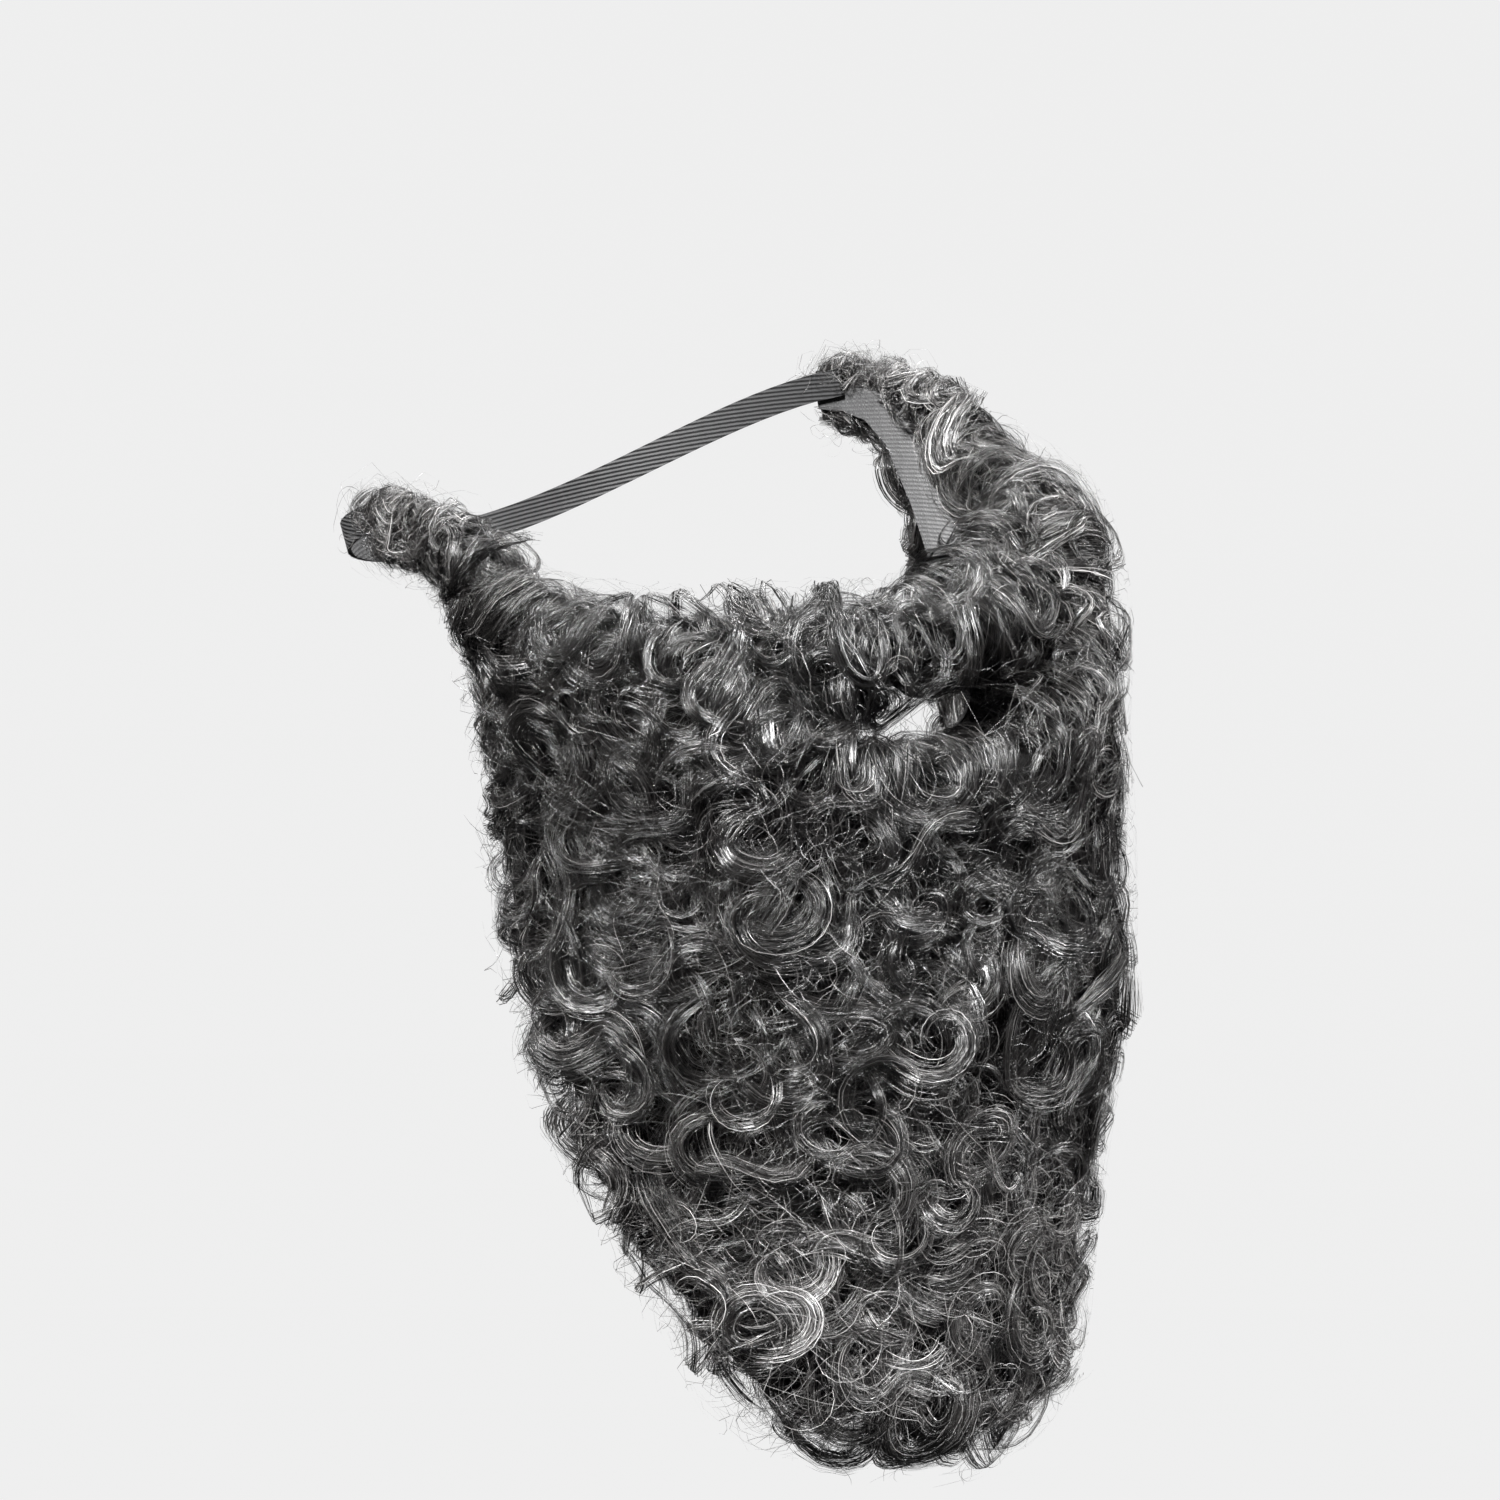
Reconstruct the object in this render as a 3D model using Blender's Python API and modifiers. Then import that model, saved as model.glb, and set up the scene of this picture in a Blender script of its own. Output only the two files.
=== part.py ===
"""A curly false beard with its moustache, in the form it takes when it is worn.

Units and frame: sizes below are in millimetres and become metres in the mesh. +Z is plumb up,
the wearer looks along -Y and the wearer's left is +X. The origin lies midway between the tops
of the wearer's ears, where the elastic pulls. The wearer's head leans to one side: the cloth
backing and the elastic lean with it, and the hair hangs plumb from them.

A place on the face is an angle round the head (0 at the nose, 90 at the left ear) and a height
in the leaning head's own frame.
"""

import math
from collections import namedtuple

import bmesh
import bpy
import numpy as np
from mathutils import Matrix

MM = 0.001

# The wearer's head: crown towards the right shoulder, nose a little up
HEAD_LEAN = math.radians(15.0)
HEAD_TIP_BACK = math.radians(4.5)
HEAD_TURN = np.array(
    Matrix.Rotation(-HEAD_LEAN, 3, "Y") @ Matrix.Rotation(-HEAD_TIP_BACK, 3, "X")
)

# Plan section of the face at each height: a squared ellipse about the line between the ears
FaceLevel = namedtuple("FaceLevel", "height half_width depth")
FACE = (
    FaceLevel(-130, 42, 92),
    FaceLevel(-118, 50, 100),
    FaceLevel(-100, 57, 105),
    FaceLevel(-80, 63, 107),
    FaceLevel(-55, 68, 107),
    FaceLevel(-25, 72, 103),
    FaceLevel(0, 75, 100),
    FaceLevel(30, 76, 98),
)
SQUARENESS = 2.3

# Cloth backing: its upper and lower edge round the face
BACKING_WALL = 1.5
BACKING_END = 95
BACKING_HALF_COLUMNS = 20
BackingStation = namedtuple("BackingStation", "angle top bottom")
BACKING = (
    BackingStation(0, -64, -121),
    BackingStation(15, -62, -120),
    BackingStation(30, -53, -114),
    BackingStation(45, -46, -104),
    BackingStation(60, -38, -88),
    BackingStation(67, -25, -74),
    BackingStation(73, -14, -52),
    BackingStation(78, -6, -26),
    BackingStation(84, -1, -12),
    BackingStation(90, 3, -6),
    BackingStation(95, 4, -4),
)
MOUTH_HEIGHT = -86
MOUTH_HALF_WIDTH = 24
MOUTH_HALF_HEIGHT = 10

# Elastic: sewn under the two tabs, it runs round the back of the head
ELASTIC_WIDTH = 8.0
ELASTIC_WALL = 1.2
ELASTIC_START = 89
ELASTIC_BACK_DEPTH = 97
ELASTIC_HEIGHT = 2.5
ELASTIC_DROP = 16

# Hair: upper edge on the face, how far it puffs above that on either side, how far it stands
# off, and the plumb height of its lowest tips on either side
HairStation = namedtuple("HairStation", "angle top puff_right puff_left thickness tip_right tip_left")
HAIR = (
    HairStation(0, -100, 4, 4, 34, -272, -272),
    HairStation(12, -99, 4, 4, 34, -271, -273),
    HairStation(22, -93, 4, 4, 33, -269, -274),
    HairStation(30, -77, 5, 6, 32, -266, -273),
    HairStation(37, -53, 5, 10, 32, -261, -272),
    HairStation(45, -46, 5, 14, 31, -251, -270),
    HairStation(55, -42, 5, 13, 28, -226, -262),
    HairStation(62, -36, 5, 10, 25, -206, -240),
    HairStation(67, -25, 5, 7, 21, -186, -215),
    HairStation(73, -14, 5, 6, 16, -158, -180),
    HairStation(78, -6, 4, 4, 11, -130, -145),
    HairStation(84, -1, 4, 4, 8, -100, -110),
    HairStation(90, 3, 4, 4, 7, -60, -70),
    HairStation(95, 4, 4, 4, 6, -40, -50),
)
# Plumb fall below the jaw: outer plan section, another squared ellipse, and the wall's thickness
FallLevel = namedtuple("FallLevel", "height centre half_width back depth thickness")
FALL = (
    FallLevel(-285, 15, 60, -66, 54, 20),
    FallLevel(-265, 16, 70, -58, 64, 25),
    FallLevel(-240, 17, 78, -44, 80, 29),
    FallLevel(-200, 18, 84, -26, 102, 31),
    FallLevel(-150, 21, 92, -6, 132, 31),
    FallLevel(-110, 20, 92, 0, 141, 30),
    FallLevel(-60, 19, 90, 0, 143, 28),
)
# Corners of the hair's section: on the cheek by the share of the puff above the upper edge and
# the share of the thickness off the skin, in the fall by the share of its drop and of its wall
CheekCorner = namedtuple("CheekCorner", "rise stand_off")
CHEEK_CORNERS = (CheekCorner(0.8, 0.5), CheekCorner(0.3, 0.88))
FallCorner = namedtuple("FallCorner", "drop inset")
OUTER_CORNERS = (
    FallCorner(0.08, 0),
    FallCorner(0.4, 0),
    FallCorner(0.72, 0),
    FallCorner(0.93, 0.06),
)
INNER_CORNERS = (
    FallCorner(1, 0.5),
    FallCorner(0.93, 0.94),
    FallCorner(0.6, 1),
    FallCorner(0.28, 1),
)
HAIR_END = 96
HAIR_BED = BACKING_WALL + 0.5
HAIR_ROOT = -3
JAW_SHARE = 0.75
STRIP_ANGLE = 71
STRIP_FADE = 9

# Moustache: it springs from the backing above the mouth and droops over it
MOUSTACHE_HALF_ANGLE = 34
MOUSTACHE_TOP = -62
MOUSTACHE_BOTTOM = -75
MOUSTACHE_THICKNESS = 20
MOUSTACHE_ROOM = 8

# Curls: open rings of lock, scattered evenly over the hair and smaller where it is thin
CURL_SPACING = 20
CURL_RADIUS = 10
LOCK_RADIUS = 4.2
MOUSTACHE_CURL_RADIUS = 6.5
MOUTH_CLEAR_ANGLE = 34
CURL_SEED = 11
FUSE_GRAIN = 1.8
HAIR_TRIANGLES = 7450
MOUSTACHE_TRIANGLES = 1250


def smooth_through(x, stations, values):
    """Cubic pieces through the (station, value) pairs, for stations in rising order."""
    stations = np.asarray(stations, float)
    values = np.asarray(values, float)
    x = np.clip(np.asarray(x, float), stations[0], stations[-1])
    slopes = np.gradient(values, stations)
    i = np.clip(np.searchsorted(stations, x) - 1, 0, len(stations) - 2)
    step = stations[i + 1] - stations[i]
    t = (x - stations[i]) / step
    rise = t * t * (3 - 2 * t)
    return (
        values[i] * (1 - rise)
        + values[i + 1] * rise
        + step * slopes[i] * t * (1 - t) ** 2
        + step * slopes[i + 1] * t * t * (t - 1)
    )


def read(table, column, x):
    """A table's column at x, measured along the table's first column."""
    return smooth_through(x, [row[0] for row in table], [getattr(row, column) for row in table])


def smoothstep(t):
    t = np.clip(t, 0, 1)
    return t * t * (3 - 2 * t)


def squared_ellipse(angle, half_width, depth):
    """Plan points of a squared ellipse at the angle (degrees) and its outward normals."""
    s, c = np.sin(np.radians(angle)), np.cos(np.radians(angle))
    power = 2 / SQUARENESS
    x = half_width * np.sign(s) * np.abs(s) ** power
    y = -depth * np.sign(c) * np.abs(c) ** power
    slope = 2 - power
    normal = np.stack(
        [np.sign(s) * np.abs(s) ** slope / half_width, -np.sign(c) * np.abs(c) ** slope / depth], -1
    )
    normal /= np.linalg.norm(normal, axis=-1, keepdims=True)
    return np.stack([x, y], -1), normal


def on_face(angle, height, offset=0.0):
    """Points on the worn face, in the part's frame, standing off the skin by the offset."""
    angle, height, offset = np.broadcast_arrays(*(np.asarray(a, float) for a in (angle, height, offset)))
    plan, normal = squared_ellipse(
        angle, read(FACE, "half_width", height), read(FACE, "depth", height)
    )
    plan = plan + offset[..., None] * normal
    return np.concatenate([plan, height[..., None]], -1) @ HEAD_TURN.T


def in_fall(angle, height, inward=0.0):
    """Points on the plumb fall's outer face, or the given depth inside it."""
    angle, height, inward = np.broadcast_arrays(*(np.asarray(a, float) for a in (angle, height, inward)))
    plan, normal = squared_ellipse(
        angle, read(FALL, "half_width", height), read(FALL, "depth", height)
    )
    plan = plan - inward[..., None] * normal
    plan[..., 0] += read(FALL, "centre", height)
    plan[..., 1] += read(FALL, "back", height)
    return np.concatenate([plan, height[..., None]], -1)


def hair_section(angle):
    """One closed section of the hair at an angle: up over the cheek, down outside, back up inside.

    Returns the corner points, and how many of them lie on the outer side.
    """
    across = abs(angle)
    top = read(HAIR, "top", across)
    bottom = read(BACKING, "bottom", across)
    thick = read(HAIR, "thickness", across)
    jaw = top + JAW_SHARE * (min(bottom, top - 8) - top)
    strip = smoothstep((across - STRIP_ANGLE) / STRIP_FADE)
    wearers_side = "left" if angle > 0 else "right"
    tip = read(HAIR, "tip_" + wearers_side, across)
    puff = read(HAIR, "puff_" + wearers_side, across)
    start = on_face(angle, jaw, thick)[2]

    def below(corner):
        """A corner of the fall, which turns into the strip's lower edge towards the ear."""
        height = start + corner.drop * (tip - start)
        wall = read(FALL, "thickness", height) * (0.72 + 0.28 * math.cos(math.radians(angle)))
        hanging = in_fall(angle, height, corner.inset * wall)
        edge = on_face(angle, bottom + 3 - 7 * corner.drop, thick * (1 - corner.inset))
        return hanging * (1 - strip) + edge * strip

    under_jaw = on_face(angle, bottom - 3, 2) * (1 - strip) + on_face(angle, bottom - 2, 0) * strip
    outer = [
        on_face(angle, top - 1, 1),
        *(on_face(angle, top + at.rise * puff, at.stand_off * thick) for at in CHEEK_CORNERS),
        on_face(angle, top + 0.4 * (jaw - top), thick),
        *(below(corner) for corner in OUTER_CORNERS),
    ]
    inner = [
        *(below(corner) for corner in INNER_CORNERS),
        under_jaw,
        on_face(angle, bottom + 2, HAIR_ROOT),
        on_face(angle, 0.5 * (bottom + top), HAIR_ROOT),
        on_face(angle, top - 2, HAIR_ROOT),
    ]
    return np.array(outer + inner), len(outer)


def moustache_section(angle, room=0.0):
    """One closed section of the moustache, grown by the room it needs when it cuts the beard."""
    taper = math.sqrt(max(0.12, 1 - (abs(angle) / (MOUSTACHE_HALF_ANGLE + 3)) ** 2))
    thick = MOUSTACHE_THICKNESS * (0.55 + 0.45 * taper)
    top = MOUSTACHE_TOP + 11 * smoothstep(abs(angle) / MOUSTACHE_HALF_ANGLE)
    bottom = MOUSTACHE_BOTTOM - 3 * smoothstep((abs(angle) - 12) / 14)
    outer = [
        on_face(angle, top + room, 1),
        on_face(angle, top + 3 + room, 0.5 * thick),
        on_face(angle, 0.7 * top + 0.3 * bottom + 0.5 * room, thick + room),
        on_face(angle, bottom + 2 - 0.5 * room, 0.95 * thick + room),
        on_face(angle, bottom - 2 - 1.3 * room, 0.6 * thick),
    ]
    inner = [
        on_face(angle, bottom + 1 - room, 0.25 * thick),
        on_face(angle, bottom + 3 - room, HAIR_ROOT),
        on_face(angle, top - 2 + room, HAIR_ROOT),
    ]
    return np.array(outer + inner), len(outer)


def smooth_closed(points, count):
    """The given number of points on a smooth closed curve through the given ones."""
    around = np.concatenate([points[-3:], points, points[:4]])
    station = np.arange(-3, len(points) + 4)
    x = np.linspace(0, len(points), count, endpoint=False)
    return np.stack([smooth_through(x, station, around[:, axis]) for axis in range(3)], -1)


def new_object(name, mesh, collection):
    """Links a mesh made in millimetres as an object whose mesh is in metres."""
    mesh.transform(Matrix.Scale(MM, 4))
    obj = bpy.data.objects.new(name, mesh)
    collection.objects.link(obj)
    return obj


def loft(name, rings, collection):
    """A closed body through closed rings of equal count, with a fan at each end."""
    rings = np.asarray(rings)
    form = bmesh.new()
    rows = [[form.verts.new(point) for point in ring] for ring in rings]
    for row, following in zip(rows, rows[1:]):
        for k, corner in enumerate(row):
            beside = (k + 1) % len(row)
            form.faces.new((corner, row[beside], following[beside], following[k]))
    for row in (rows[0], rows[-1]):
        hub = form.verts.new(np.mean([corner.co for corner in row], axis=0))
        for k, corner in enumerate(row):
            form.faces.new((corner, row[(k + 1) % len(row)], hub))
    bmesh.ops.recalc_face_normals(form, faces=form.faces)
    mesh = bpy.data.meshes.new(name)
    form.to_mesh(mesh)
    form.free()
    return new_object(name, mesh, collection)


def sheet(name, grid, collection):
    """An open surface through a grid of points, its normals away from the head."""
    columns, rows = grid.shape[:2]
    index = np.arange(columns * rows).reshape(columns, rows)
    faces = np.stack([index[:-1, :-1], index[1:, :-1], index[1:, 1:], index[:-1, 1:]], -1)
    mesh = bpy.data.meshes.new(name)
    mesh.from_pydata(grid.reshape(-1, 3).tolist(), [], faces.reshape(-1, 4).tolist())
    mesh.update()
    middle = mesh.polygons[len(mesh.polygons) // 2]
    if middle.normal.dot(middle.center) < 0:
        mesh.flip_normals()
    return new_object(name, mesh, collection)


def solidify(obj, wall, side):
    """Gives an open sheet its wall, outwards for side 1 and inwards for side -1."""
    modifier = obj.modifiers.new("wall", "SOLIDIFY")
    modifier.thickness = wall * MM
    modifier.offset = side
    modifier.use_even_offset = True


def boolean(obj, operation, other):
    modifier = obj.modifiers.new(operation.lower(), "BOOLEAN")
    modifier.operation = operation
    modifier.object = other


def settle(obj):
    """Replaces the object's mesh by its evaluated one, with no modifier left."""
    graph = bpy.context.evaluated_depsgraph_get()
    mesh = bpy.data.meshes.new_from_object(obj.evaluated_get(graph))
    obj.modifiers.clear()
    obj.data = mesh


def face_grid(extra, rows, edges, offset):
    """Grid of points on the face between two edges, each given as height at an angle.

    Its columns are the backing's own, with the given number of extra ones beyond each end.
    """
    step = BACKING_END / BACKING_HALF_COLUMNS
    angle = step * np.arange(-BACKING_HALF_COLUMNS - extra, BACKING_HALF_COLUMNS + extra + 1)
    upper, lower = (edge(np.abs(angle)) for edge in edges)
    share = np.linspace(0, 1, rows)
    height = upper[:, None] + share[None, :] * (lower - upper)[:, None]
    return on_face(angle[:, None], height, offset)


def lock(path, radius, collection):
    """One lock of hair: a tapering tube along its path, as a mesh."""
    curve = bpy.data.curves.new("lock", "CURVE")
    curve.dimensions = "3D"
    curve.bevel_depth = 1
    curve.bevel_resolution = 1
    curve.use_fill_caps = True
    spline = curve.splines.new("POLY")
    spline.points.add(len(path) - 1)
    for corner, place, size in zip(spline.points, path, radius):
        corner.co = (*place, 1)
        corner.radius = size
    guide = bpy.data.objects.new("lock", curve)
    collection.objects.link(guide)
    graph = bpy.context.evaluated_depsgraph_get()
    mesh = bpy.data.meshes.new_from_object(guide.evaluated_get(graph))
    bpy.data.objects.remove(guide)
    return mesh


def curl_path(seat, down, side, out, radius, turn):
    """A lock that comes down out of the hair and rolls up into an open ring on its surface."""
    t = np.linspace(0, 1, 15)
    sweep = turn * 2 * math.pi * 1.15 * t
    ring = radius * (1 - 0.35 * t)
    lift = radius * (-0.75 + 1.25 * smoothstep(t * 1.6))
    return (
        seat
        - np.outer(ring * np.cos(sweep), down)
        + np.outer(ring * np.sin(sweep), side)
        + np.outer(lift, out)
    )


def outer_side(section, angles, count):
    """The outer side of a body's sections as a grid of evenly spaced points down each section."""
    grid = []
    for angle in angles:
        corners, outer = section(angle)
        x = np.linspace(0.4, outer - 0.2, 200)
        station = np.arange(len(corners))
        line = np.stack([smooth_through(x, station, corners[:, axis]) for axis in range(3)], -1)
        along = np.concatenate([[0], np.cumsum(np.linalg.norm(np.diff(line, axis=0), axis=1))])
        even = np.linspace(0, along[-1], count)
        grid.append(np.stack([np.interp(even, along, line[:, axis]) for axis in range(3)], -1))
    return np.array(grid)


def scattered(grid, spacing, top, low, chance):
    """Cells of a grid, each column's own spacing or more apart, between its top and low level."""
    seats = []
    for _ in range(5000):
        column = chance.integers(1, grid.shape[0] - 1)
        level = chance.integers(top[column], low)
        gaps = [np.linalg.norm(grid[column, level] - grid[other]) for other in seats]
        if not gaps or min(gaps) > spacing[column]:
            seats.append((column, level))
    return seats


def curls_over(grid, size, spacing, levels, collection, seed):
    """Lock meshes that ring over an outer side, with the curl size and spacing of each column.

    levels is the first level of each column that takes a curl, and the last level of all.
    """
    chance = np.random.default_rng(seed)
    made = []
    for column, level in scattered(grid, spacing, *levels, chance):
        down = grid[column, level + 1] - grid[column, level - 1]
        down /= np.linalg.norm(down)
        side = grid[column + 1, level] - grid[column - 1, level]
        side -= down * side.dot(down)
        side /= np.linalg.norm(side)
        out = np.cross(side, down)
        if out.dot(grid[column, level] - grid.mean(axis=(0, 1))) < 0:
            out = -out
        lean = chance.normal(0, 0.5)
        side, down = (
            side * math.cos(lean) + down * math.sin(lean),
            down * math.cos(lean) - side * math.sin(lean),
        )
        radius = size[column] * chance.uniform(0.8, 1.2)
        turn = chance.choice((-1, 1))
        path = curl_path(grid[column, level] - 1.5 * out, down, side, out, radius, turn)
        taper = radius * LOCK_RADIUS / CURL_RADIUS * np.linspace(1.1, 0.65, len(path))
        made.append(lock(path, taper, collection))
    return made


def fused(body, locks, triangles):
    """Fuses the locks to the body in one closed skin and thins it to about the given triangles."""
    form = bmesh.new()
    form.from_mesh(body.data)
    bmesh.ops.scale(form, vec=(1 / MM,) * 3, verts=form.verts)
    for mesh in locks:
        form.from_mesh(mesh)
        bpy.data.meshes.remove(mesh)
    bmesh.ops.scale(form, vec=(MM,) * 3, verts=form.verts)
    form.to_mesh(body.data)
    form.free()
    skin = body.modifiers.new("fuse", "REMESH")
    skin.mode = "VOXEL"
    skin.voxel_size = FUSE_GRAIN * MM
    settle(body)
    thin = body.modifiers.new("thin", "DECIMATE")
    thin.ratio = triangles / (2 * len(body.data.polygons))
    settle(body)


def material(name, colour, roughness):
    made = bpy.data.materials.new(name)
    made.use_nodes = True
    shader = made.node_tree.nodes["Principled BSDF"]
    shader.inputs["Base Color"].default_value = (*colour, 1)
    shader.inputs["Roughness"].default_value = roughness
    return made


def make_backing(parts, cutters):
    """The cloth cup that lies on the lip, cheeks and chin, with its mouth cut through."""
    edges = (lambda a: read(BACKING, "top", a), lambda a: read(BACKING, "bottom", a))
    cloth = sheet("backing", face_grid(0, 8, edges, 0), parts)
    solidify(cloth, BACKING_WALL, 1)
    bpy.ops.mesh.primitive_cylinder_add(vertices=28, radius=1, depth=60 * MM)
    mouth = bpy.context.object
    mouth.name = "mouth_cutter"
    mouth.data.transform(Matrix.Rotation(math.pi / 2, 4, "X"))
    mouth.data.transform(Matrix.Diagonal((MOUTH_HALF_WIDTH * MM, 1, MOUTH_HALF_HEIGHT * MM, 1)))
    front = -read(FACE, "depth", MOUTH_HEIGHT)
    mouth.data.transform(Matrix.Translation((0, front * MM, MOUTH_HEIGHT * MM)))
    mouth.data.transform(Matrix(HEAD_TURN.tolist()).to_4x4())
    for collection in mouth.users_collection:
        collection.objects.unlink(mouth)
    cutters.objects.link(mouth)
    boolean(cloth, "DIFFERENCE", mouth)
    return cloth


def make_bed(cutters):
    """What the hair leaves free for the backing and the face: the face grown by the backing."""
    edges = (lambda a: 0 * a + 26, lambda a: read(BACKING, "bottom", a) - 1.5)
    bed = sheet("backing_bed_cutter", face_grid(3, 15, edges, HAIR_BED), cutters)
    solidify(bed, 26, -1)
    settle(bed)
    return bed


def make_elastic(parts):
    """A flat woven band from tab to tab round the back of the head."""
    half = np.linspace(0, 1, 19)
    angle = ELASTIC_START + half * (180 - ELASTIC_START)
    angle = np.concatenate([-angle, angle[-2::-1]])
    behind = smoothstep((np.abs(angle) - ELASTIC_START) / (180 - ELASTIC_START))
    depth = read(FACE, "depth", ELASTIC_HEIGHT) * (1 - behind) + ELASTIC_BACK_DEPTH * behind
    plan, _ = squared_ellipse(angle, read(FACE, "half_width", ELASTIC_HEIGHT) - 0.4, depth)
    height = ELASTIC_HEIGHT - ELASTIC_DROP * behind
    edges = [
        np.column_stack([plan, height + side * ELASTIC_WIDTH / 2]) @ HEAD_TURN.T for side in (1, -1)
    ]
    band = sheet("elastic_band", np.stack(edges, 1), parts)
    solidify(band, ELASTIC_WALL, -1)
    return band


def make_moustache(parts, cutters, bed):
    """The moustache, and the room it takes out of the beard."""
    angles = np.linspace(-MOUSTACHE_HALF_ANGLE, MOUSTACHE_HALF_ANGLE, 25)
    rings = [smooth_closed(moustache_section(a)[0], 24) for a in angles]
    hair = loft("moustache_hair", rings, parts)
    grid = outer_side(moustache_section, np.linspace(-27, 27, 41), 12)
    size = np.full(len(grid), MOUSTACHE_CURL_RADIUS)
    levels = (np.ones(len(grid), int), 8)
    locks = curls_over(grid, size, 2 * size, levels, cutters, CURL_SEED + 1)
    fused(hair, locks, MOUSTACHE_TRIANGLES)
    wide = np.linspace(-MOUSTACHE_HALF_ANGLE - 8, MOUSTACHE_HALF_ANGLE + 8, 25)
    rings = [smooth_closed(moustache_section(a, MOUSTACHE_ROOM)[0], 20) for a in wide]
    room = loft("moustache_room_cutter", rings, cutters)
    boolean(hair, "DIFFERENCE", bed)
    return hair, room


def make_beard(parts, cutters, bed, room):
    """The long curly hair, from one ear strip round the chin to the other."""
    angles = np.linspace(-HAIR_END, HAIR_END, 73)
    rings = [smooth_closed(hair_section(a)[0], 40) for a in angles]
    hair = loft("beard_hair", rings, parts)
    across = np.linspace(-HAIR_END + 3, HAIR_END - 3, 121)
    grid = outer_side(hair_section, across, 60)
    share = np.clip(read(HAIR, "thickness", np.abs(across)) / 24, 0.45, 1)
    levels = (np.where(np.abs(across) < MOUTH_CLEAR_ANGLE, 6, 1), grid.shape[1] - 1)
    locks = curls_over(grid, CURL_RADIUS * share, CURL_SPACING * share, levels, cutters, CURL_SEED)
    fused(hair, locks, HAIR_TRIANGLES)
    boolean(hair, "DIFFERENCE", bed)
    boolean(hair, "DIFFERENCE", room)
    return hair


def main():
    for obj in list(bpy.data.objects):
        bpy.data.objects.remove(obj)
    parts = bpy.data.collections.new("false_beard")
    cutters = bpy.data.collections.new("cutters")
    for collection in (parts, cutters):
        bpy.context.scene.collection.children.link(collection)

    bed = make_bed(cutters)
    backing = make_backing(parts, cutters)
    elastic = make_elastic(parts)
    moustache, room = make_moustache(parts, cutters, bed)
    beard = make_beard(parts, cutters, bed, room)

    grey_hair = material("grey_curled_fibre", (0.06, 0.06, 0.062), 0.42)
    beard.data.materials.append(grey_hair)
    moustache.data.materials.append(grey_hair)
    backing.data.materials.append(material("charcoal_knit", (0.035, 0.034, 0.036), 0.9))
    elastic.data.materials.append(material("woven_elastic", (0.05, 0.05, 0.052), 0.75))
    for helper in cutters.objects:
        helper.hide_render = True
        helper.display_type = "WIRE"


main()
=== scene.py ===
"""Looks of the curly grey false beard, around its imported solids.

Sizes are in millimetres and become metres in each mesh. +Z is plumb up, the wearer looks along
-Y and the wearer's left is +X; the wearer's head leans, and the backing with it.
"""

import math
from collections import namedtuple

import bmesh
import bpy
import numpy as np
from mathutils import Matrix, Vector


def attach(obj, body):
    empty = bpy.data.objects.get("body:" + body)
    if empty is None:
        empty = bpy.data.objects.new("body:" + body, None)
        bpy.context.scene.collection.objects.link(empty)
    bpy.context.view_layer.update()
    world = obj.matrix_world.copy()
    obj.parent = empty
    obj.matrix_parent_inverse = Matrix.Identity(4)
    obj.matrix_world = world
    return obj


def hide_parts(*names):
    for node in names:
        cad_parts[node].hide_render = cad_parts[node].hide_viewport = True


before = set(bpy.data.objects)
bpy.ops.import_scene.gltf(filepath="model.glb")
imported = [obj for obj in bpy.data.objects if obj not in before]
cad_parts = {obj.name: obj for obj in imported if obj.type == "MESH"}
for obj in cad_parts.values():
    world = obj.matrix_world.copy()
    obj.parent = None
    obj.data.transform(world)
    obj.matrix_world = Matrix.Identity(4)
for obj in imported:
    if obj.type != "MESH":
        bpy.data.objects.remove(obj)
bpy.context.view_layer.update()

MM = 0.001

# The wearer's head: crown towards the right shoulder, nose a little up
HEAD_LEAN = math.radians(15.0)
HEAD_TIP_BACK = math.radians(4.5)

# Plan section of the face at each height: a squared ellipse about the line between the ears
FaceLevel = namedtuple("FaceLevel", "height half_width depth")
FACE = (
    FaceLevel(-130, 42, 92),
    FaceLevel(-118, 50, 100),
    FaceLevel(-100, 57, 105),
    FaceLevel(-80, 63, 107),
    FaceLevel(-55, 68, 107),
    FaceLevel(-25, 72, 103),
    FaceLevel(0, 75, 100),
    FaceLevel(30, 76, 98),
)
SQUARENESS = 2.3

# Upper and lower edge of the cloth backing round the face
BackingStation = namedtuple("BackingStation", "angle top bottom")
BACKING = (
    BackingStation(0, -64, -121),
    BackingStation(15, -62, -120),
    BackingStation(30, -53, -114),
    BackingStation(45, -46, -104),
    BackingStation(60, -38, -88),
    BackingStation(67, -25, -74),
    BackingStation(73, -14, -52),
    BackingStation(78, -6, -26),
    BackingStation(84, -1, -12),
    BackingStation(90, 3, -6),
    BackingStation(95, 4, -4),
)

# Hair: upper edge on the face, how far it puffs above that on either side, how far it stands
# off, and the plumb height of its lowest tips on either side
HairStation = namedtuple("HairStation", "angle top puff_right puff_left thickness tip_right tip_left")
HAIR = (
    HairStation(0, -100, 4, 4, 34, -272, -272),
    HairStation(12, -99, 4, 4, 34, -271, -273),
    HairStation(22, -93, 4, 4, 33, -269, -274),
    HairStation(30, -77, 5, 6, 32, -266, -273),
    HairStation(37, -53, 5, 10, 32, -261, -272),
    HairStation(45, -46, 5, 14, 31, -251, -270),
    HairStation(55, -42, 5, 13, 28, -226, -262),
    HairStation(62, -36, 5, 10, 25, -206, -240),
    HairStation(67, -25, 5, 7, 21, -186, -215),
    HairStation(73, -14, 5, 6, 16, -158, -180),
    HairStation(78, -6, 4, 4, 11, -130, -145),
    HairStation(84, -1, 4, 4, 8, -100, -110),
    HairStation(90, 3, 4, 4, 7, -60, -70),
    HairStation(95, 4, 4, 4, 6, -40, -50),
)
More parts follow.
